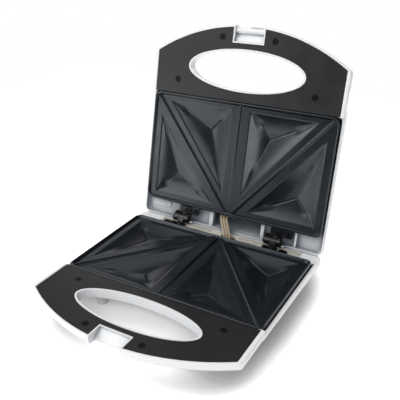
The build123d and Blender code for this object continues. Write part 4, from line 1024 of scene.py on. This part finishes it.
class MAKER_OT_studio(bpy.types.Operator):
    """Sets the camera, the white floor and the soft lamps"""

    bl_idname = "maker.studio"
    bl_label = "Studio"

    def execute(self, context):
        scene = context.scene
        studio = scene.maker_studio
        scene.view_settings.view_transform = "Standard"
        _, plate_place = half_matrix("base")
        azimuth, level, roll = studio.azimuth, math.cos(studio.elevation), studio.roll
        right = np.array([math.cos(azimuth), math.sin(azimuth), 0.0])
        back = np.array([right[1] * level, -right[0] * level, math.sin(studio.elevation)])
        up = np.cross(back, right)
        turned_right = math.cos(roll) * right + math.sin(roll) * up
        turned_up = -math.sin(roll) * right + math.cos(roll) * up
        camera = bpy.data.cameras.new("camera")
        camera.lens = studio.focal
        camera.sensor_width = 36
        camera.clip_start = 0.01
        eye = bpy.data.objects.new("camera", camera)
        place = plate_place + np.array(studio.place)
        eye.matrix_world = placed_matrix(turned_right, turned_up, back, place)
        scene.collection.objects.link(eye)
        scene.camera = eye

        half = studio.floor_size / 2
        corners = [(-half, -half, 0), (half, -half, 0), (half, half, 0), (-half, half, 0)]
        sheet = bpy.data.meshes.new("studio_floor")
        sheet.from_pydata(corners, [], [(0, 1, 2, 3)])
        sheet.materials.append(seamless_paper(scene.maker_colours.floor, studio))
        floor = bpy.data.objects.new("studio_floor", sheet)
        scene.collection.objects.link(floor)
        scene.world = white_room(studio.ambient)
        for name, spot, aim, wide, tall in LAMPS:
            softbox(f"{name}_softbox", getattr(studio, name), spot, aim, wide, tall)
        return {"FINISHED"}


class MAKER_PT_panel(bpy.types.Panel):
    """Lists the pieces and their settings"""

    bl_idname = "MAKER_PT_panel"
    bl_label = "Sandwich maker"
    bl_space_type = "VIEW_3D"
    bl_region_type = "UI"
    bl_category = "Sandwich maker"

    def draw(self, context):
        for operator in OPERATORS:
            self.layout.operator(operator.bl_idname)
        for group in GROUPS:
            box = self.layout.box()
            settings = getattr(context.scene, group)
            for name in settings.__annotations__:
                box.prop(settings, name)


OPERATORS = (
    MAKER_OT_studio, MAKER_OT_plates, MAKER_OT_sleeves, MAKER_OT_mouldings, MAKER_OT_trims,
    MAKER_OT_hardware, MAKER_OT_heating, MAKER_OT_fittings,
)
GROUPS = {
    "maker_plates": PlateSizes, "maker_sleeves": SleeveSizes, "maker_colours": FinishColours,
    "maker_studio": StudioSettings,
}


def register():
    """Registers the classes and puts the settings on the scene."""
    for group in GROUPS.values():
        bpy.utils.register_class(group)
    for name, group in GROUPS.items():
        setattr(bpy.types.Scene, name, PointerProperty(type=group))
    for part in (*OPERATORS, MAKER_PT_panel):
        bpy.utils.register_class(part)


def unregister():
    """Takes all of that away again."""
    for part in (*OPERATORS, MAKER_PT_panel):
        bpy.utils.unregister_class(part)
    for name, group in GROUPS.items():
        delattr(bpy.types.Scene, name)
        bpy.utils.unregister_class(group)


def main():
    """Builds and dresses everything."""
    register()
    bpy.ops.maker.studio()
    bpy.ops.maker.plates()
    bpy.ops.maker.sleeves()
    bpy.ops.maker.mouldings()
    bpy.ops.maker.trims()
    bpy.ops.maker.hardware()
    bpy.ops.maker.heating()
    bpy.ops.maker.fittings()


if __name__ == "__main__":
    main()
